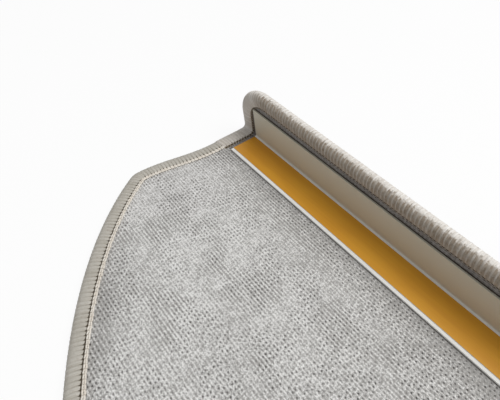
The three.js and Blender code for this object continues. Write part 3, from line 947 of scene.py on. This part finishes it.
# Geometry nodes
class Growth(Web):
    """A geometry tree that puts copies of one shape on stations, each turned into its own frame."""

    flattening = 0.00012

    def __init__(self, name, inputs):
        tree = bpy.data.node_groups.new(name, "GeometryNodeTree")
        tree.interface.new_socket("Geometry", in_out="INPUT", socket_type="NodeSocketGeometry")
        for label, kind in inputs.items():
            tree.interface.new_socket(label, in_out="INPUT", socket_type="NodeSocket" + kind)
        tree.interface.new_socket("Finish", in_out="INPUT", socket_type="NodeSocketMaterial")
        tree.interface.new_socket("Geometry", in_out="OUTPUT", socket_type="NodeSocketGeometry")
        super().__init__(tree)
        self.given = self.add("NodeGroupInput")

    def input(self, name):
        return self.given.output(name)

    def named(self, name, kind="FLOAT"):
        reader = self.add("GeometryNodeInputNamedAttribute", {"data_type": kind}, {"Name": name})
        return reader.output("Attribute")

    def store(self, shape, name, value):
        """Keeps a number on every point of a shape, for its material to read."""
        values = {"Geometry": shape, "Name": name, "Value": value}
        return self.add("GeometryNodeStoreNamedAttribute", {"domain": "POINT"}, values)

    def moved(self, shape, position):
        return self.add("GeometryNodeSetPosition", {}, {"Geometry": shape, "Position": position})

    def thread(self, path, radius, sides):
        """A closed tube of thread along a path."""
        ring = self.add(
            "GeometryNodeCurvePrimitiveCircle", {}, {"Resolution": sides, "Radius": radius}
        )
        values = {"Curve": path, "Profile Curve": ring, "Fill Caps": True}
        return self.add("GeometryNodeCurveToMesh", {}, values)

    def line(self):
        """A run of points to bend into shape, and the share of the run gone at each."""
        line = self.add("GeometryNodeCurvePrimitiveLine")
        values = {"Curve": line, "Count": self.input("Steps") + 1}
        points = self.add("GeometryNodeResampleCurve", {}, values)
        along = self.add("GeometryNodeSplineParameter")
        return self.store(points, "along", along), along

    def finish(self, shape):
        """Sets the shape on the stations, draws its feet out to the needle line and presses it flat
        where it meets the floor, each copy at a height of its own."""
        axes = {
            "Primary Axis": self.named("upward", "FLOAT_VECTOR"),
            "Secondary Axis": self.named("outward", "FLOAT_VECTOR"),
        }
        facing = self.add(
            "FunctionNodeAxesToRotation", {"primary_axis": "Z", "secondary_axis": "X"}, axes
        )
        lean = self.add(
            "FunctionNodeEulerToRotation", {}, {0: self.vector(0.0, 0.0, self.named("lean"))}
        )
        turned = self.add(
            "FunctionNodeRotateRotation", {"rotation_space": "LOCAL"}, {0: facing, 1: lean}
        )
        copies = self.add("GeometryNodeInstanceOnPoints", {}, {
            "Points": self.input("Geometry"),
            "Instance": shape,
            "Rotation": turned,
            "Scale": self.named("stretch", "FLOAT_VECTOR"),
        })
        whole = self.add("GeometryNodeRealizeInstances", {}, {"Geometry": copies})
        foot_shift = self.add("ShaderNodeVectorMath", {"operation": "SCALE"}, {
            0: self.named("outward", "FLOAT_VECTOR"),
            "Scale": self.named("foot") * self.named("extra") * -1,
        })
        here = self.add("GeometryNodeInputPosition")
        x, y, z = self.parts(
            self.add("ShaderNodeVectorMath", {"operation": "ADD"}, {0: here, 1: foot_shift})
        )
        above = self.math("MAXIMUM", z, self.named("strand") * self.flattening)
        whole = self.moved(whole, self.vector(x, y, above))
        smooth = self.add("GeometryNodeSetShadeSmooth", {}, {"Geometry": whole})
        painted = self.add(
            "GeometryNodeSetMaterial", {}, {"Geometry": smooth, "Material": self.input("Finish")}
        )
        self.add("NodeGroupOutput", {}, {"Geometry": painted})
        return self.tree


def wrap_tree():
    """One strand of yarn from its needle hole over the edge to the hole on the other face."""
    dip_start = 0.86
    growth = Growth("yarn_wrap", {
        "Reach": "Float",
        "Edge radius": "Float",
        "Fullness": "Float",
        "Yarn radius": "Float",
        "Dip": "Float",
        "Steps": "Int",
        "Sides": "Int",
    })
    bend = growth.input("Edge radius") + growth.input("Fullness") - growth.input("Yarn radius")
    straight = growth.input("Reach") - growth.input("Edge radius")
    total = straight * 2 + bend * math.pi
    points, along = growth.line()
    gone = along * total
    from_end = growth.math("MINIMUM", gone, total - gone)
    points = growth.store(points, "foot", growth.math("MAXIMUM", 1 - from_end / straight, 0.0))
    angle = growth.math("MINIMUM", growth.math("MAXIMUM", (gone - straight) / bend, 0.0), math.pi)
    after = growth.math("MAXIMUM", gone - straight - bend * math.pi, 0.0)
    out = growth.math("MINIMUM", gone, straight) + bend * growth.math("SINE", angle) - after
    end = growth.math("ABSOLUTE", along - 0.5) * 2
    dip = growth.ramp(end, dip_start, 1.0) * growth.input("Dip")
    side = growth.math("SIGN", 0.5 - along)
    height = growth.input("Edge radius") + bend * growth.math("COSINE", angle) - side * dip
    path = growth.moved(points, growth.vector(out, 0.0, height))
    shape = growth.thread(path, growth.input("Yarn radius"), growth.input("Sides"))
    return growth.finish(shape)


def chain_tree():
    """One link of chain stitch: a loop whose head lies on the tail of the next."""
    waist = 0.74
    flare = 0.5
    growth = Growth("chain_link", {
        "Length": "Float",
        "Width": "Float",
        "Rise": "Float",
        "Thread radius": "Float",
        "Steps": "Int",
        "Sides": "Int",
    })
    loop = growth.add(
        "GeometryNodeCurvePrimitiveCircle", {}, {"Resolution": growth.input("Steps"), "Radius": 1.0}
    )
    x, y, _ = growth.parts(growth.add("GeometryNodeInputPosition"))
    loop = growth.store(loop, "crossing", growth.math("ABSOLUTE", y))
    width = growth.input("Width") / 2 - growth.input("Thread radius")
    across = x * (waist + flare * y) * width
    lift = (y * 0.5 + 0.5) * growth.input("Rise") + growth.input("Thread radius")
    path = growth.moved(loop, growth.vector(across, y * growth.input("Length") / 2, lift))
    shape = growth.thread(path, growth.input("Thread radius"), growth.input("Sides"))
    return growth.finish(shape)


def needle_tree():
    """One short stitch that comes up out of a hole and goes down into the next."""
    growth = Growth("needle_stitch", {
        "Length": "Float",
        "Rise": "Float",
        "Sink": "Float",
        "Thread radius": "Float",
        "Steps": "Int",
        "Sides": "Int",
    })
    points, along = growth.line()
    arch = growth.math("SINE", along * math.pi)
    height = (growth.input("Rise") + growth.input("Sink")) * arch - growth.input("Sink")
    place = (along - 0.5) * growth.input("Length")
    path = growth.moved(points, growth.vector(0.0, place, height))
    shape = growth.thread(path, growth.input("Thread radius"), growth.input("Sides"))
    return growth.finish(shape)


def tuft_tree():
    """One tuft of pile, a rough ball that is lightest at its crown."""
    growth = Growth("pile_tuft", {"Radius": "Float"})
    ball = growth.add(
        "GeometryNodeMeshIcoSphere", {}, {"Radius": growth.input("Radius"), "Subdivisions": 1}
    )
    _, _, z = growth.parts(growth.add("GeometryNodeInputPosition"))
    crown = 0.5 - z / growth.input("Radius") * 0.5
    ball = growth.store(ball, "crown", crown)
    return growth.finish(ball)


def grown(name, tree, stations, settings, material):
    """Runs a geometry tree on stations and gives the result as a plain piece."""
    cloud = bpy.data.meshes.new(name + "_stations")
    cloud.from_pydata([station.place for station in stations], [], [])
    for label in Station._fields[1:]:
        values = [getattr(station, label) for station in stations]
        if label in ("outward", "upward", "stretch"):
            layer = cloud.attributes.new(label, "FLOAT_VECTOR", "POINT")
            layer.data.foreach_set("vector", [part for value in values for part in value])
        else:
            layer = cloud.attributes.new(label, "FLOAT", "POINT")
            layer.data.foreach_set("value", values)
    carrier = bpy.data.objects.new(name + "_stations", cloud)
    bpy.context.scene.collection.objects.link(carrier)
    modifier = carrier.modifiers.new("grow", "NODES")
    modifier.node_group = tree
    settings = {**settings, "Finish": material}
    for item in tree.interface.items_tree:
        if item.in_out == "INPUT" and item.name in settings:
            modifier[item.identifier] = settings[item.name]
    depsgraph = bpy.context.evaluated_depsgraph_get()
    mesh = bpy.data.meshes.new_from_object(
        carrier.evaluated_get(depsgraph), preserve_all_data_layers=True, depsgraph=depsgraph
    )
    carrier.modifiers.remove(modifier)
    bpy.data.objects.remove(carrier)
    bpy.data.meshes.remove(cloud)
    mesh.name = name
    return add_piece(name, mesh, material)


def settle(piece, slot, *nodes):
    """Rides a finished piece on the mat and hides the solids that it stands for; slot is not used.
    """
    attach(piece, "root")
    if nodes:
        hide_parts(*nodes)


# Operators
class Piece(bpy.types.Operator):
    """Shared by the operators below"""

    bl_options = {"REGISTER", "UNDO"}

    def execute(self, context):
        self.make(context, FoldedMat(context.scene))
        return {"FINISHED"}


class TREADMAT_OT_stage(bpy.types.Operator):
    """Set the camera, the pale floor and the soft lamps"""

    bl_idname = "treadmat.stage"
    bl_label = "Camera and stage"

    film_width = 36.0
    nearest = 0.01

    def execute(self, context):
        stage = context.scene.mat_stage
        self.camera(context, stage)
        self.floor(context, stage)
        self.lamps(context, stage)
        context.scene.view_settings.view_transform = "Standard"
        return {"FINISHED"}

    def camera(self, context, stage):
        lens = bpy.data.cameras.new("camera")
        lens.sensor_width = self.film_width
        lens.lens = stage.lens
        lens.clip_start = self.nearest
        camera = bpy.data.objects.new("camera", lens)
        aim = Matrix.Rotation(stage.heading, 4, "Z") @ Matrix.Rotation(stage.pitch, 4, "X")
        roll = Matrix.Rotation(stage.roll, 4, "Z")
        camera.matrix_world = Matrix.Translation(stage.place) @ aim @ roll
        context.scene.collection.objects.link(camera)
        context.scene.camera = camera

    def floor(self, context, stage):
        half = stage.floor_half
        mesh = bpy.data.meshes.new("floor")
        corners = [(-half, -half, 0), (half, -half, 0), (half, half, 0), (-half, half, 0)]
        mesh.from_pydata(corners, [], [(0, 1, 2, 3)])
        add_piece("floor", mesh, floor_paint(stage))

    def lamps(self, context, stage):
        world = bpy.data.worlds.new("studio")
        world.use_nodes = True
        web = Web(world.node_tree)
        web.tree.nodes.clear()
        level = web.background_seen() * (1 - stage.world_level) + stage.world_level
        sky = web.add("ShaderNodeBackground", {}, {"Color": (1, 1, 1, 1), "Strength": level})
        web.add("ShaderNodeOutputWorld", {}, {"Surface": sky})
        context.scene.world = world

        lamp = bpy.data.lights.new("key", "AREA")
        lamp.shape = "SQUARE"
        lamp.size = stage.key_size
        rise = stage.key_rise
        spread = math.pi ** 2 * stage.key_distance ** 2
        lamp.energy = stage.key_level * spread / math.sin(rise)
        key = bpy.data.objects.new("key", lamp)
        flat = Vector((-math.sin(stage.key_swing), -math.cos(stage.key_swing), 0.0))
        towards = flat * math.cos(rise) + Vector((0.0, 0.0, math.sin(rise)))
        key.location = towards * stage.key_distance
        key.rotation_euler = towards.to_track_quat("Z", "Y").to_euler()
        context.scene.collection.objects.link(key)


class TREADMAT_OT_carpet(Piece):
    """Make the carpet sheet with its pile"""

    bl_idname = "treadmat.carpet"
    bl_label = "Carpet and pile"

    # Ground
    row_step = 0.002
    columns = 24
    ground_height = 0.0022
    # Tufts
    fold_share = 0.34
    clear_share = 0.75
    stray = 0.12
    height_range = (0.92, 1.0)
    length_range = (1.0, 1.12)
    width_range = (0.9, 1.0)
    seed = 11

    def make(self, context, mat):
        sheet = mat.sheet
        inset = mat.edge_inset(self.ground_height)
        first = mat.lip_edge + inset
        last = mat.cut.mat_depth - inset
        steps = round((last - first) / self.row_step)
        depths = [first + (last - first) * i / steps for i in range(steps + 1)]
        ground = sheet_mesh(
            "carpet_ground", mat, depths, self.columns, lambda s: sheet.pile, self.ground_height
        )
        ground = add_piece("carpet_ground", ground, carpet_ground(sheet))
        settle(ground, "carpet_pile", "tufted_carpet")

        pile = grown(
            "carpet_pile",
            tuft_tree(),
            self.tufts(mat),
            {"Radius": sheet.tuft_radius},
            pile_yarn(sheet),
        )
        settle(pile, "carpet_pile", "tufted_carpet")
        flat = (mat.cut.mat_length - 2 * inset, last - first)
        mat.flat_area(inset)

    def tufts(self, mat):
        """Stations of the tufts in staggered rows, each a little out of place."""
        sheet = mat.sheet
        binding = mat.binding
        draw = random.Random(self.seed)
        clear = sheet.tuft_radius * self.clear_share
        first = mat.lip_edge + binding.lip_width + clear
        last = mat.cut.mat_depth - binding.tread_width - clear
        stations = []
        for row, (s, step) in enumerate(self.tuft_depths(mat, first, last)):
            on_lip = s < mat.seam + sheet.tuft_radius
            side = binding.lip_side_width if on_lip else binding.tread_width
            half = mat.half_width(s, min(side + clear, s - mat.lip_edge - mat.nudge))
            count = max(round(2 * half / sheet.tuft_across), 1)
            for column in range(count):
                x = half * (2 * (column + 0.25 + 0.5 * (row % 2)) / count - 1)
                x += draw.uniform(-self.stray, self.stray) * sheet.tuft_across
                depth = s + draw.uniform(-self.stray, self.stray) * step
                high = draw.uniform(*self.height_range)
                point = EdgePoint(x, depth, 1.0, 0.0)
                place, outward, upward = mat.frame(point, 0.0, sheet.tuft_radius * high)
                stretch = (draw.uniform(*self.length_range), draw.uniform(*self.width_range), high)
                lean = draw.uniform(0, math.tau)
                stations.append(Station(place, outward, upward, lean, stretch, draw.random()))
        return stations

    def tuft_depths(self, mat, first, last):
        """Rows of tufts, each with its depth and the step to the next, which is shorter where the
        fold spreads the pile."""
        full_step = (last - first) / round((last - first) / mat.sheet.tuft_rows)
        depths = []
        s = first
        while s < last + full_step / 2:
            step = full_step * (self.fold_share if mat.on_fold(s, full_step / 2) else 1)
            depths.append((min(s, last), step))
            s += step
        return depths


class TREADMAT_OT_backing(Piece):
    """Weave the back of the mat"""

    bl_idname = "treadmat.backing"
    bl_label = "Woven back"

    columns = 72
    unevenness = 0.00006
    seed = 23

    def make(self, context, mat):
        sheet = mat.sheet
        inset = mat.edge_inset(mat.backing_underside)
        half_pitch = sheet.weft_pitch / 2
        first = math.ceil((mat.lip_edge + inset) / half_pitch)
        last = math.floor((mat.cut.mat_depth - inset) / half_pitch)
        depths = [row * half_pitch for row in range(first, last + 1)]

        def upper(s):
            crest = 0.5 + 0.5 * math.cos(math.tau * s / sheet.weft_pitch)
            return mat.sheet_top - sheet.weft_relief * (1 - crest)

        mesh = sheet_mesh(
            "woven_backing_cloth",
            mat,
            depths,
            self.columns,
            upper,
            mat.backing_underside,
            random.Random(self.seed),
            self.unevenness,
        )
        self.mark_rim(mat, mesh)
        cloth = add_piece("woven_backing_cloth", mesh, backing_cloth(mat))
        settle(cloth, "backing_weave", "woven_backing")
        flat = (mat.cut.mat_length - 2 * inset, depths[-1] - depths[0])
        mat.flat_area(inset)

    def mark_rim(self, mat, mesh):
        """Keeps on every point how far it lies from the side of the mat."""
        places = {}
        for loop, flat in zip(mesh.loops, mesh.uv_layers["flat"].data):
            places[loop.vertex_index] = flat.uv[:]
        layer = mesh.attributes.new("rim", "FLOAT", "POINT")
        widths = {}
        for index, (x, s) in places.items():
            if s not in widths:
                widths[s] = mat.half_width(s, 0.0)
            layer.data[index].value = min(widths[s] - abs(x), mat.cut.mat_depth - s)


class Binding(Piece):
    """Shared by both bindings: the bed under the strands, and the strands"""

    # Bed
    bed_wall = 0.0004
    bed_depth = 1.15
    foot = 0.0014
    foot_gap = 0.0003
    toe_rise = 0.00012
    heel_sink = 0.0003
    flange_gap = 0.0006
    foot_start = 0.0001
    nose_angles = range(90, -91, -15)
    # Strands
    steps = 12
    sides = 5
    dip = 0.0007
    fold_parts = (-0.36, -0.12, 0.12, 0.36)

    def bed_section(self, mat, fullness, yarn):
        """The bed: a flange on each face, a round nose, and a thin foot past the needle line."""
        centre = mat.edge_radius
        outer = centre + fullness - yarn * self.bed_depth
        inner = outer - self.bed_wall

        def nose(radius, angles):
            return [
                (None, centre - radius * math.cos(angle), centre + radius * math.sin(angle))
                for angle in map(math.radians, angles)
            ]

        toe = mat.sheet_top + self.toe_rise
        heel = mat.sheet_top - self.heel_sink
        top = [
            (self.foot, 0, heel),
            (self.foot, 0, toe),
            (self.foot_start, 0, toe),
            (-self.flange_gap, 0, centre + outer),
        ]
        under = [(0.0, 0, centre - outer), (0.0, 0, centre - inner)]
        back = [(-self.flange_gap, 0, centre + inner)]
        outside = nose(outer, self.nose_angles)
        inside = nose(inner, reversed(self.nose_angles))
        return top + outside + under + inside + back

    def bind(self, mat, edge, needle_line, draw):
        """Makes the bed and the strands of one pass of yarn."""
        binding = mat.binding
        name = edge.name + "_bed"
        section = self.bed_section(mat, edge.fullness, edge.yarn)
        bed = swept_edge(name, mat, edge.run, binding.stitch_pitch, edge.width_at, section)
        finish = binding_bed(name, binding, needle_line, self.hole_along, self.hole_across)
        settle(add_piece(name, bed, finish), "binding_yarn", edge.node)

        name = edge.name + "_yarn"
        yarn = grown(
            name,
            wrap_tree(),
            self.strands(mat, edge, draw),
            {
                "Reach": edge.least,
                "Edge radius": mat.edge_radius,
                "Fullness": edge.fullness,
                "Yarn radius": edge.yarn,
                "Dip": self.dip,
                "Steps": self.steps,
                "Sides": self.sides,
            },
            binding_yarn(name, binding, edge.light, edge.tone, self.look),
        )
        settle(yarn, "binding_yarn", edge.node)

    def strands(self, mat, edge, draw):
        """Stations of the strands: each stitch fans out from its needle hole, fullest in the
        middle. Over the fold the strands lie closer and don't fan out."""
        binding = mat.binding
        run = edge.run
        count, step = stitches(run, binding.stitch_pitch)
        middle = (binding.strands - 1) / 2
        gap = step / binding.strands
        evenly = [gap * (index + 0.5) for index in range(count * binding.strands)]
        places = []
        for index, point in enumerate(along_run(run, evenly)):
            if mat.on_fold(point.s, gap):
                places += [(evenly[index] + gap * part, 0.0) for part in self.fold_parts]
            else:
                stitch, strand = divmod(index, binding.strands)
                spread = strand - middle
                places.append((step * (stitch + 0.5) + spread * self.apart, spread))
        places.sort()
        stations = []
        points = along_run(run, [place for place, _ in places])
        for point, (_, spread) in zip(points, places):
            place, outward, upward = mat.frame(point, edge.least, 0.0)
            flank = abs(spread) / middle
            lean = binding.slant + spread * edge.fan + draw.uniform(-self.jitter, self.jitter)
            full = 1 + self.crown * (0.5 - flank) + draw.uniform(-self.swell, self.swell)
            thick = self.spread * (1 + draw.uniform(-self.unevenness, self.unevenness))
            stretch = (full, thick, full)
            extra = edge.width_at(point) - edge.least
            chance = draw.random()
            stations.append(Station(place, outward, upward, lean, stretch, chance, extra, flank))
        return stations


class TREADMAT_OT_tread_binding(Binding):
    """Bind the edge round the tread and sew its chain stitch"""

    bl_idname = "treadmat.tread_binding"
    bl_label = "Tread binding"

    seed = 31
    # Strands
    jitter = math.radians(1.2)
    swell = 0.004
    spread = 1.6
    unevenness = 0.12
    crown = 0.006
    apart = 0.0004
    look = YarnLook(fuzziness=0.4, sheen=0.1, valley=0.15, soiling=0.0)
    # Needle holes
    hole_along = 0.2
    hole_across = 0.00045
    # Chain links
    link_length = 1.35
    link_widths = 0.16
    link_lean = 0.2
    chain_steps = 10
    chain_sides = 5
    chain_rise = 0.00025

    def make(self, context, mat):
        binding = mat.binding
        draw = random.Random(self.seed)
        edge = EdgePass(
            name="tread_binding",
            node="tread_edge_binding",
            run=mat.tread_run(),
            width_at=mat.tread_width,
            least=binding.tread_width - self.foot_gap,
            fan=binding.tread_fan,
            fullness=0.0,
            yarn=binding.tread_yarn,
            light=binding.tread_light,
            tone=binding.tread_tone,
        )
        self.bind(mat, edge, 0.0, draw)

        chain = grown(
            "back_chain",
            chain_tree(),
            self.links(mat, edge.run, draw),
            {
                "Length": binding.stitch_pitch * self.link_length,
                "Width": binding.chain_width,
                "Rise": self.chain_rise,
                "Thread radius": binding.chain_thread,
                "Steps": self.chain_steps,
                "Sides": self.chain_sides,
            },
            sewing_thread(binding),
        )
        settle(chain, "sewing_thread", "back_chain_stitch")

    def links(self, mat, run, draw):
        """Stations of the chain stitch, one for each stitch of the binding."""
        binding = mat.binding
        inset = binding.tread_width + binding.chain_margin + binding.chain_width / 2
        count, step = stitches(run, binding.stitch_pitch)
        stations = []
        for point in along_run(run, [step * (i + 0.5) for i in range(count)]):
            place, outward, upward = mat.frame(point, inset, mat.sheet_top)
            wide = 1 + draw.uniform(-self.link_widths, self.link_widths)
            lean = draw.uniform(-self.link_lean, self.link_lean)
            stations.append(Station(place, outward, upward, lean, (wide, 1.0, 1.0), draw.random()))
        return stations


class TREADMAT_OT_lip_binding(Binding):
    """Bind the edge round the lip and sew its needle thread"""

    bl_idname = "treadmat.lip_binding"
    bl_label = "Lip binding"

    seed = 47
    # Strands
    jitter = math.radians(2.2)
    swell = 0.004
    spread = 1.9
    unevenness = 0.2
    crown = 0.006
    apart = 0.00038
    # The lip's yarn carries painted shade on its back side.
    look = YarnLook(fuzziness=0.8, sheen=0.2, valley=0.2, soiling=0.74)
    # Needle holes
    hole_along = 0.34
    hole_across = 0.00062
    # Needle stitches
    thread_look = YarnLook(fuzziness=0.5, sheen=0.1, valley=0.0, soiling=0.0)
    stitch_length = 0.4
    stitch_stray = 0.00012
    stitch_lean = 0.08
    stitch_sides = 5
    stitch_steps = 6
    stitch_rise = 0.00018
    stitch_sink = 0.0005

    def make(self, context, mat):
        binding = mat.binding
        draw = random.Random(self.seed)
        edge = EdgePass(
            name="lip_binding",
            node="lip_edge_binding",
            run=mat.lip_run(),
            width_at=mat.lip_width,
            least=min(binding.lip_width, binding.lip_side_width),
            fan=binding.lip_fan,
            fullness=binding.lip_fullness,
            yarn=binding.lip_yarn,
            light=binding.lip_light,
            tone=binding.lip_tone,
        )
        needle_line = binding.needle_margin + binding.needle_width / 2
        self.bind(mat, edge, needle_line, draw)

        thread = grown(
            "lip_needle_stitches",
            needle_tree(),
            self.needle_stitches(mat, edge.run, needle_line, draw),
            {
                "Length": binding.stitch_pitch * self.stitch_length,
                "Rise": self.stitch_rise,
                "Sink": self.stitch_sink,
                "Thread radius": binding.needle_width / 2,
                "Steps": self.stitch_steps,
                "Sides": self.stitch_sides,
            },
            binding_yarn(
                "needle_thread", binding, binding.tread_tone, binding.yarn_deep, self.thread_look
            ),
        )
        settle(thread, "sewing_thread", "lip_needle_thread")

    def needle_stitches(self, mat, run, needle_line, draw):
        """Stations of the needle stitches, each between two holes."""
        binding = mat.binding
        count, step = stitches(run, binding.stitch_pitch)
        stations = []
        for point in along_run(run, [step * i for i in range(1, count)]):
            stray = draw.uniform(-self.stitch_stray, self.stitch_stray)
            inset = mat.lip_width(point) + needle_line + stray
            place, outward, upward = mat.frame(point, inset, mat.sheet_top)
            lean = draw.uniform(-self.stitch_lean, self.stitch_lean)
            stations.append(Station(place, outward, upward, lean, (1.0, 1.0, 1.0), draw.random()))
        return stations


class TREADMAT_OT_nosing_profile(Piece):
    """Extrude the angle profile that stiffens the fold"""

    bl_idname = "treadmat.nosing_profile"
    bl_label = "Nosing profile"

    arc_steps = 12
    edge_segments = 2
    edge_angle = math.radians(50)

    def make(self, context, mat):
        nosing = mat.nosing
        outer = nosing.inner_radius + nosing.wall
        top = nosing.upright_leg
        section = [(nosing.flat_leg, mat.leg_top - nosing.wall)]
        section += self.arc(mat, outer, 0, 1)
        section += [on_upright(mat, top, nosing.wall), on_upright(mat, top, 0.0)]
        section += self.arc(mat, nosing.inner_radius, 1, 0)
        section += [(nosing.flat_leg, mat.leg_top)]
        mesh = along_nosing("nosing_angle", mat, section, mat.profile_half, 2)
        piece = add_piece("nosing_angle", mesh, profile_plastic(mat))
        bevel = piece.modifiers.new("rounded edges", "BEVEL")
        bevel.width = nosing.edge_round
        bevel.segments = self.edge_segments
        bevel.limit_method = "ANGLE"
        bevel.angle_limit = self.edge_angle
        bevel.harden_normals = True
        settle(piece, "profile_plastic", "angle_profile")

    def arc(self, mat, radius, start, end):
        """Points round the fold, from share start to share end of its turn."""
        points = []
        for i in range(self.arc_steps + 1):
            along = start + (end - start) * i / self.arc_steps
            angle = -math.pi / 2 - mat.fold_turn * along
            y = mat.corner_to_fold + radius * math.cos(angle)
            points.append((y, mat.fold_height + radius * math.sin(angle)))
        return points


def on_upright(mat, up, behind):
    """A point so far up the upright leg from the inner corner, and so far behind its inner face."""
    lean = mat.nosing.lean
    y = up * math.sin(lean) - behind * math.cos(lean)
    z = mat.leg_top + up * math.cos(lean) + behind * math.sin(lean)
    return y, z


def along_nosing(name, mat, section, half_length, rings, lift=None):
    """A section of depth and height, extruded along the nosing."""
    loops = []
    for i in range(rings):
        x = half_length * (2 * i / (rings - 1) - 1)
        loop = []
        for index, (y, z) in enumerate(section):
            rise = lift(i, index) if lift else 0.0
            loop.append(Vector((x, y - mat.centre_depth, z + rise)))
        loops.append(loop)
    return ring_mesh(name, loops)


class TREADMAT_OT_adhesive(Piece):
    """Lay the mounting tape with its liner, and finish the bond strips"""

    bl_idname = "treadmat.adhesive"
    bl_label = "Adhesive and liner"

    rings = 90
    columns = 8
    ripple = 0.00004
    seed = 59

    def make(self, context, mat):
        nosing = mat.nosing
        film = adhesive_film(nosing)
        for name in ("tread_bond_strip", "lip_bond_strip"):
            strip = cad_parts[name]
            strip.data.materials.clear()
            strip.data.materials.append(film)

        half = mat.profile_half - nosing.tape_end_margin
        low = mat.corner_to_fold
        high = nosing.flat_leg - nosing.tape_edge_margin
        tape_top = mat.leg_top + nosing.tape
        section = [(low, mat.leg_top), (high, mat.leg_top), (high, tape_top), (low, tape_top)]
        tape = along_nosing("tape_core", mat, section, half, 2)
        settle(add_piece("tape_core", tape, film), "adhesive_film", "mounting_tape")

        draw = random.Random(self.seed)
        ripples = [
            [draw.uniform(0, self.ripple) for _ in range(self.columns + 1)]
            for _ in range(self.rings)
        ]
        top = [
            (high + (low - high) * column / self.columns, tape_top + nosing.liner)
            for column in range(self.columns + 1)
        ]
        section = [(low, tape_top), (high, tape_top)] + top
        first_top = len(section) - len(top)

        def lift(ring, index):
            return -ripples[ring][index - first_top] if index >= first_top else 0.0

        liner = along_nosing("liner_strip", mat, section, half, self.rings, lift)
        settle(add_piece("liner_strip", liner, liner_film(nosing)), "liner_paper", "release_liner")


class TREADMAT_PT_panel(bpy.types.Panel):
    """Lists the pieces of the mat in the order in which they are made"""

    bl_label = "Tread mat"
    bl_idname = "TREADMAT_PT_panel"
    bl_space_type = "VIEW_3D"
    bl_region_type = "UI"
    bl_category = "Tread mat"

    def draw(self, context):
        for operator in operators:
            self.layout.operator(operator.bl_idname)
        for group in property_groups:
            values = getattr(context.scene, group)
            box = self.layout.box()
            for name in values.bl_rna.properties.keys():
                if name not in ("rna_type", "name"):
                    box.prop(values, name)


property_groups = {
    "mat_cut": MatCut,
    "mat_sheet": MatSheet,
    "mat_binding": MatBinding,
    "mat_nosing": MatNosing,
    "mat_stage": MatStage,
}
operators = (
    TREADMAT_OT_stage,
    TREADMAT_OT_carpet,
    TREADMAT_OT_backing,
    TREADMAT_OT_tread_binding,
    TREADMAT_OT_lip_binding,
    TREADMAT_OT_nosing_profile,
    TREADMAT_OT_adhesive,
)


def register():
    for group, kind in property_groups.items():
        bpy.utils.register_class(kind)
        setattr(bpy.types.Scene, group, PointerProperty(type=kind))
    for operator in operators:
        bpy.utils.register_class(operator)
    bpy.utils.register_class(TREADMAT_PT_panel)


def unregister():
    bpy.utils.unregister_class(TREADMAT_PT_panel)
    for operator in reversed(operators):
        bpy.utils.unregister_class(operator)
    for group, kind in property_groups.items():
        delattr(bpy.types.Scene, group)
        bpy.utils.unregister_class(kind)


def main():
    register()
    bpy.ops.treadmat.stage()
    bpy.ops.treadmat.carpet()
    bpy.ops.treadmat.backing()
    bpy.ops.treadmat.tread_binding()
    bpy.ops.treadmat.lip_binding()
    bpy.ops.treadmat.nosing_profile()
    bpy.ops.treadmat.adhesive()


if __name__ == "__main__":
    main()
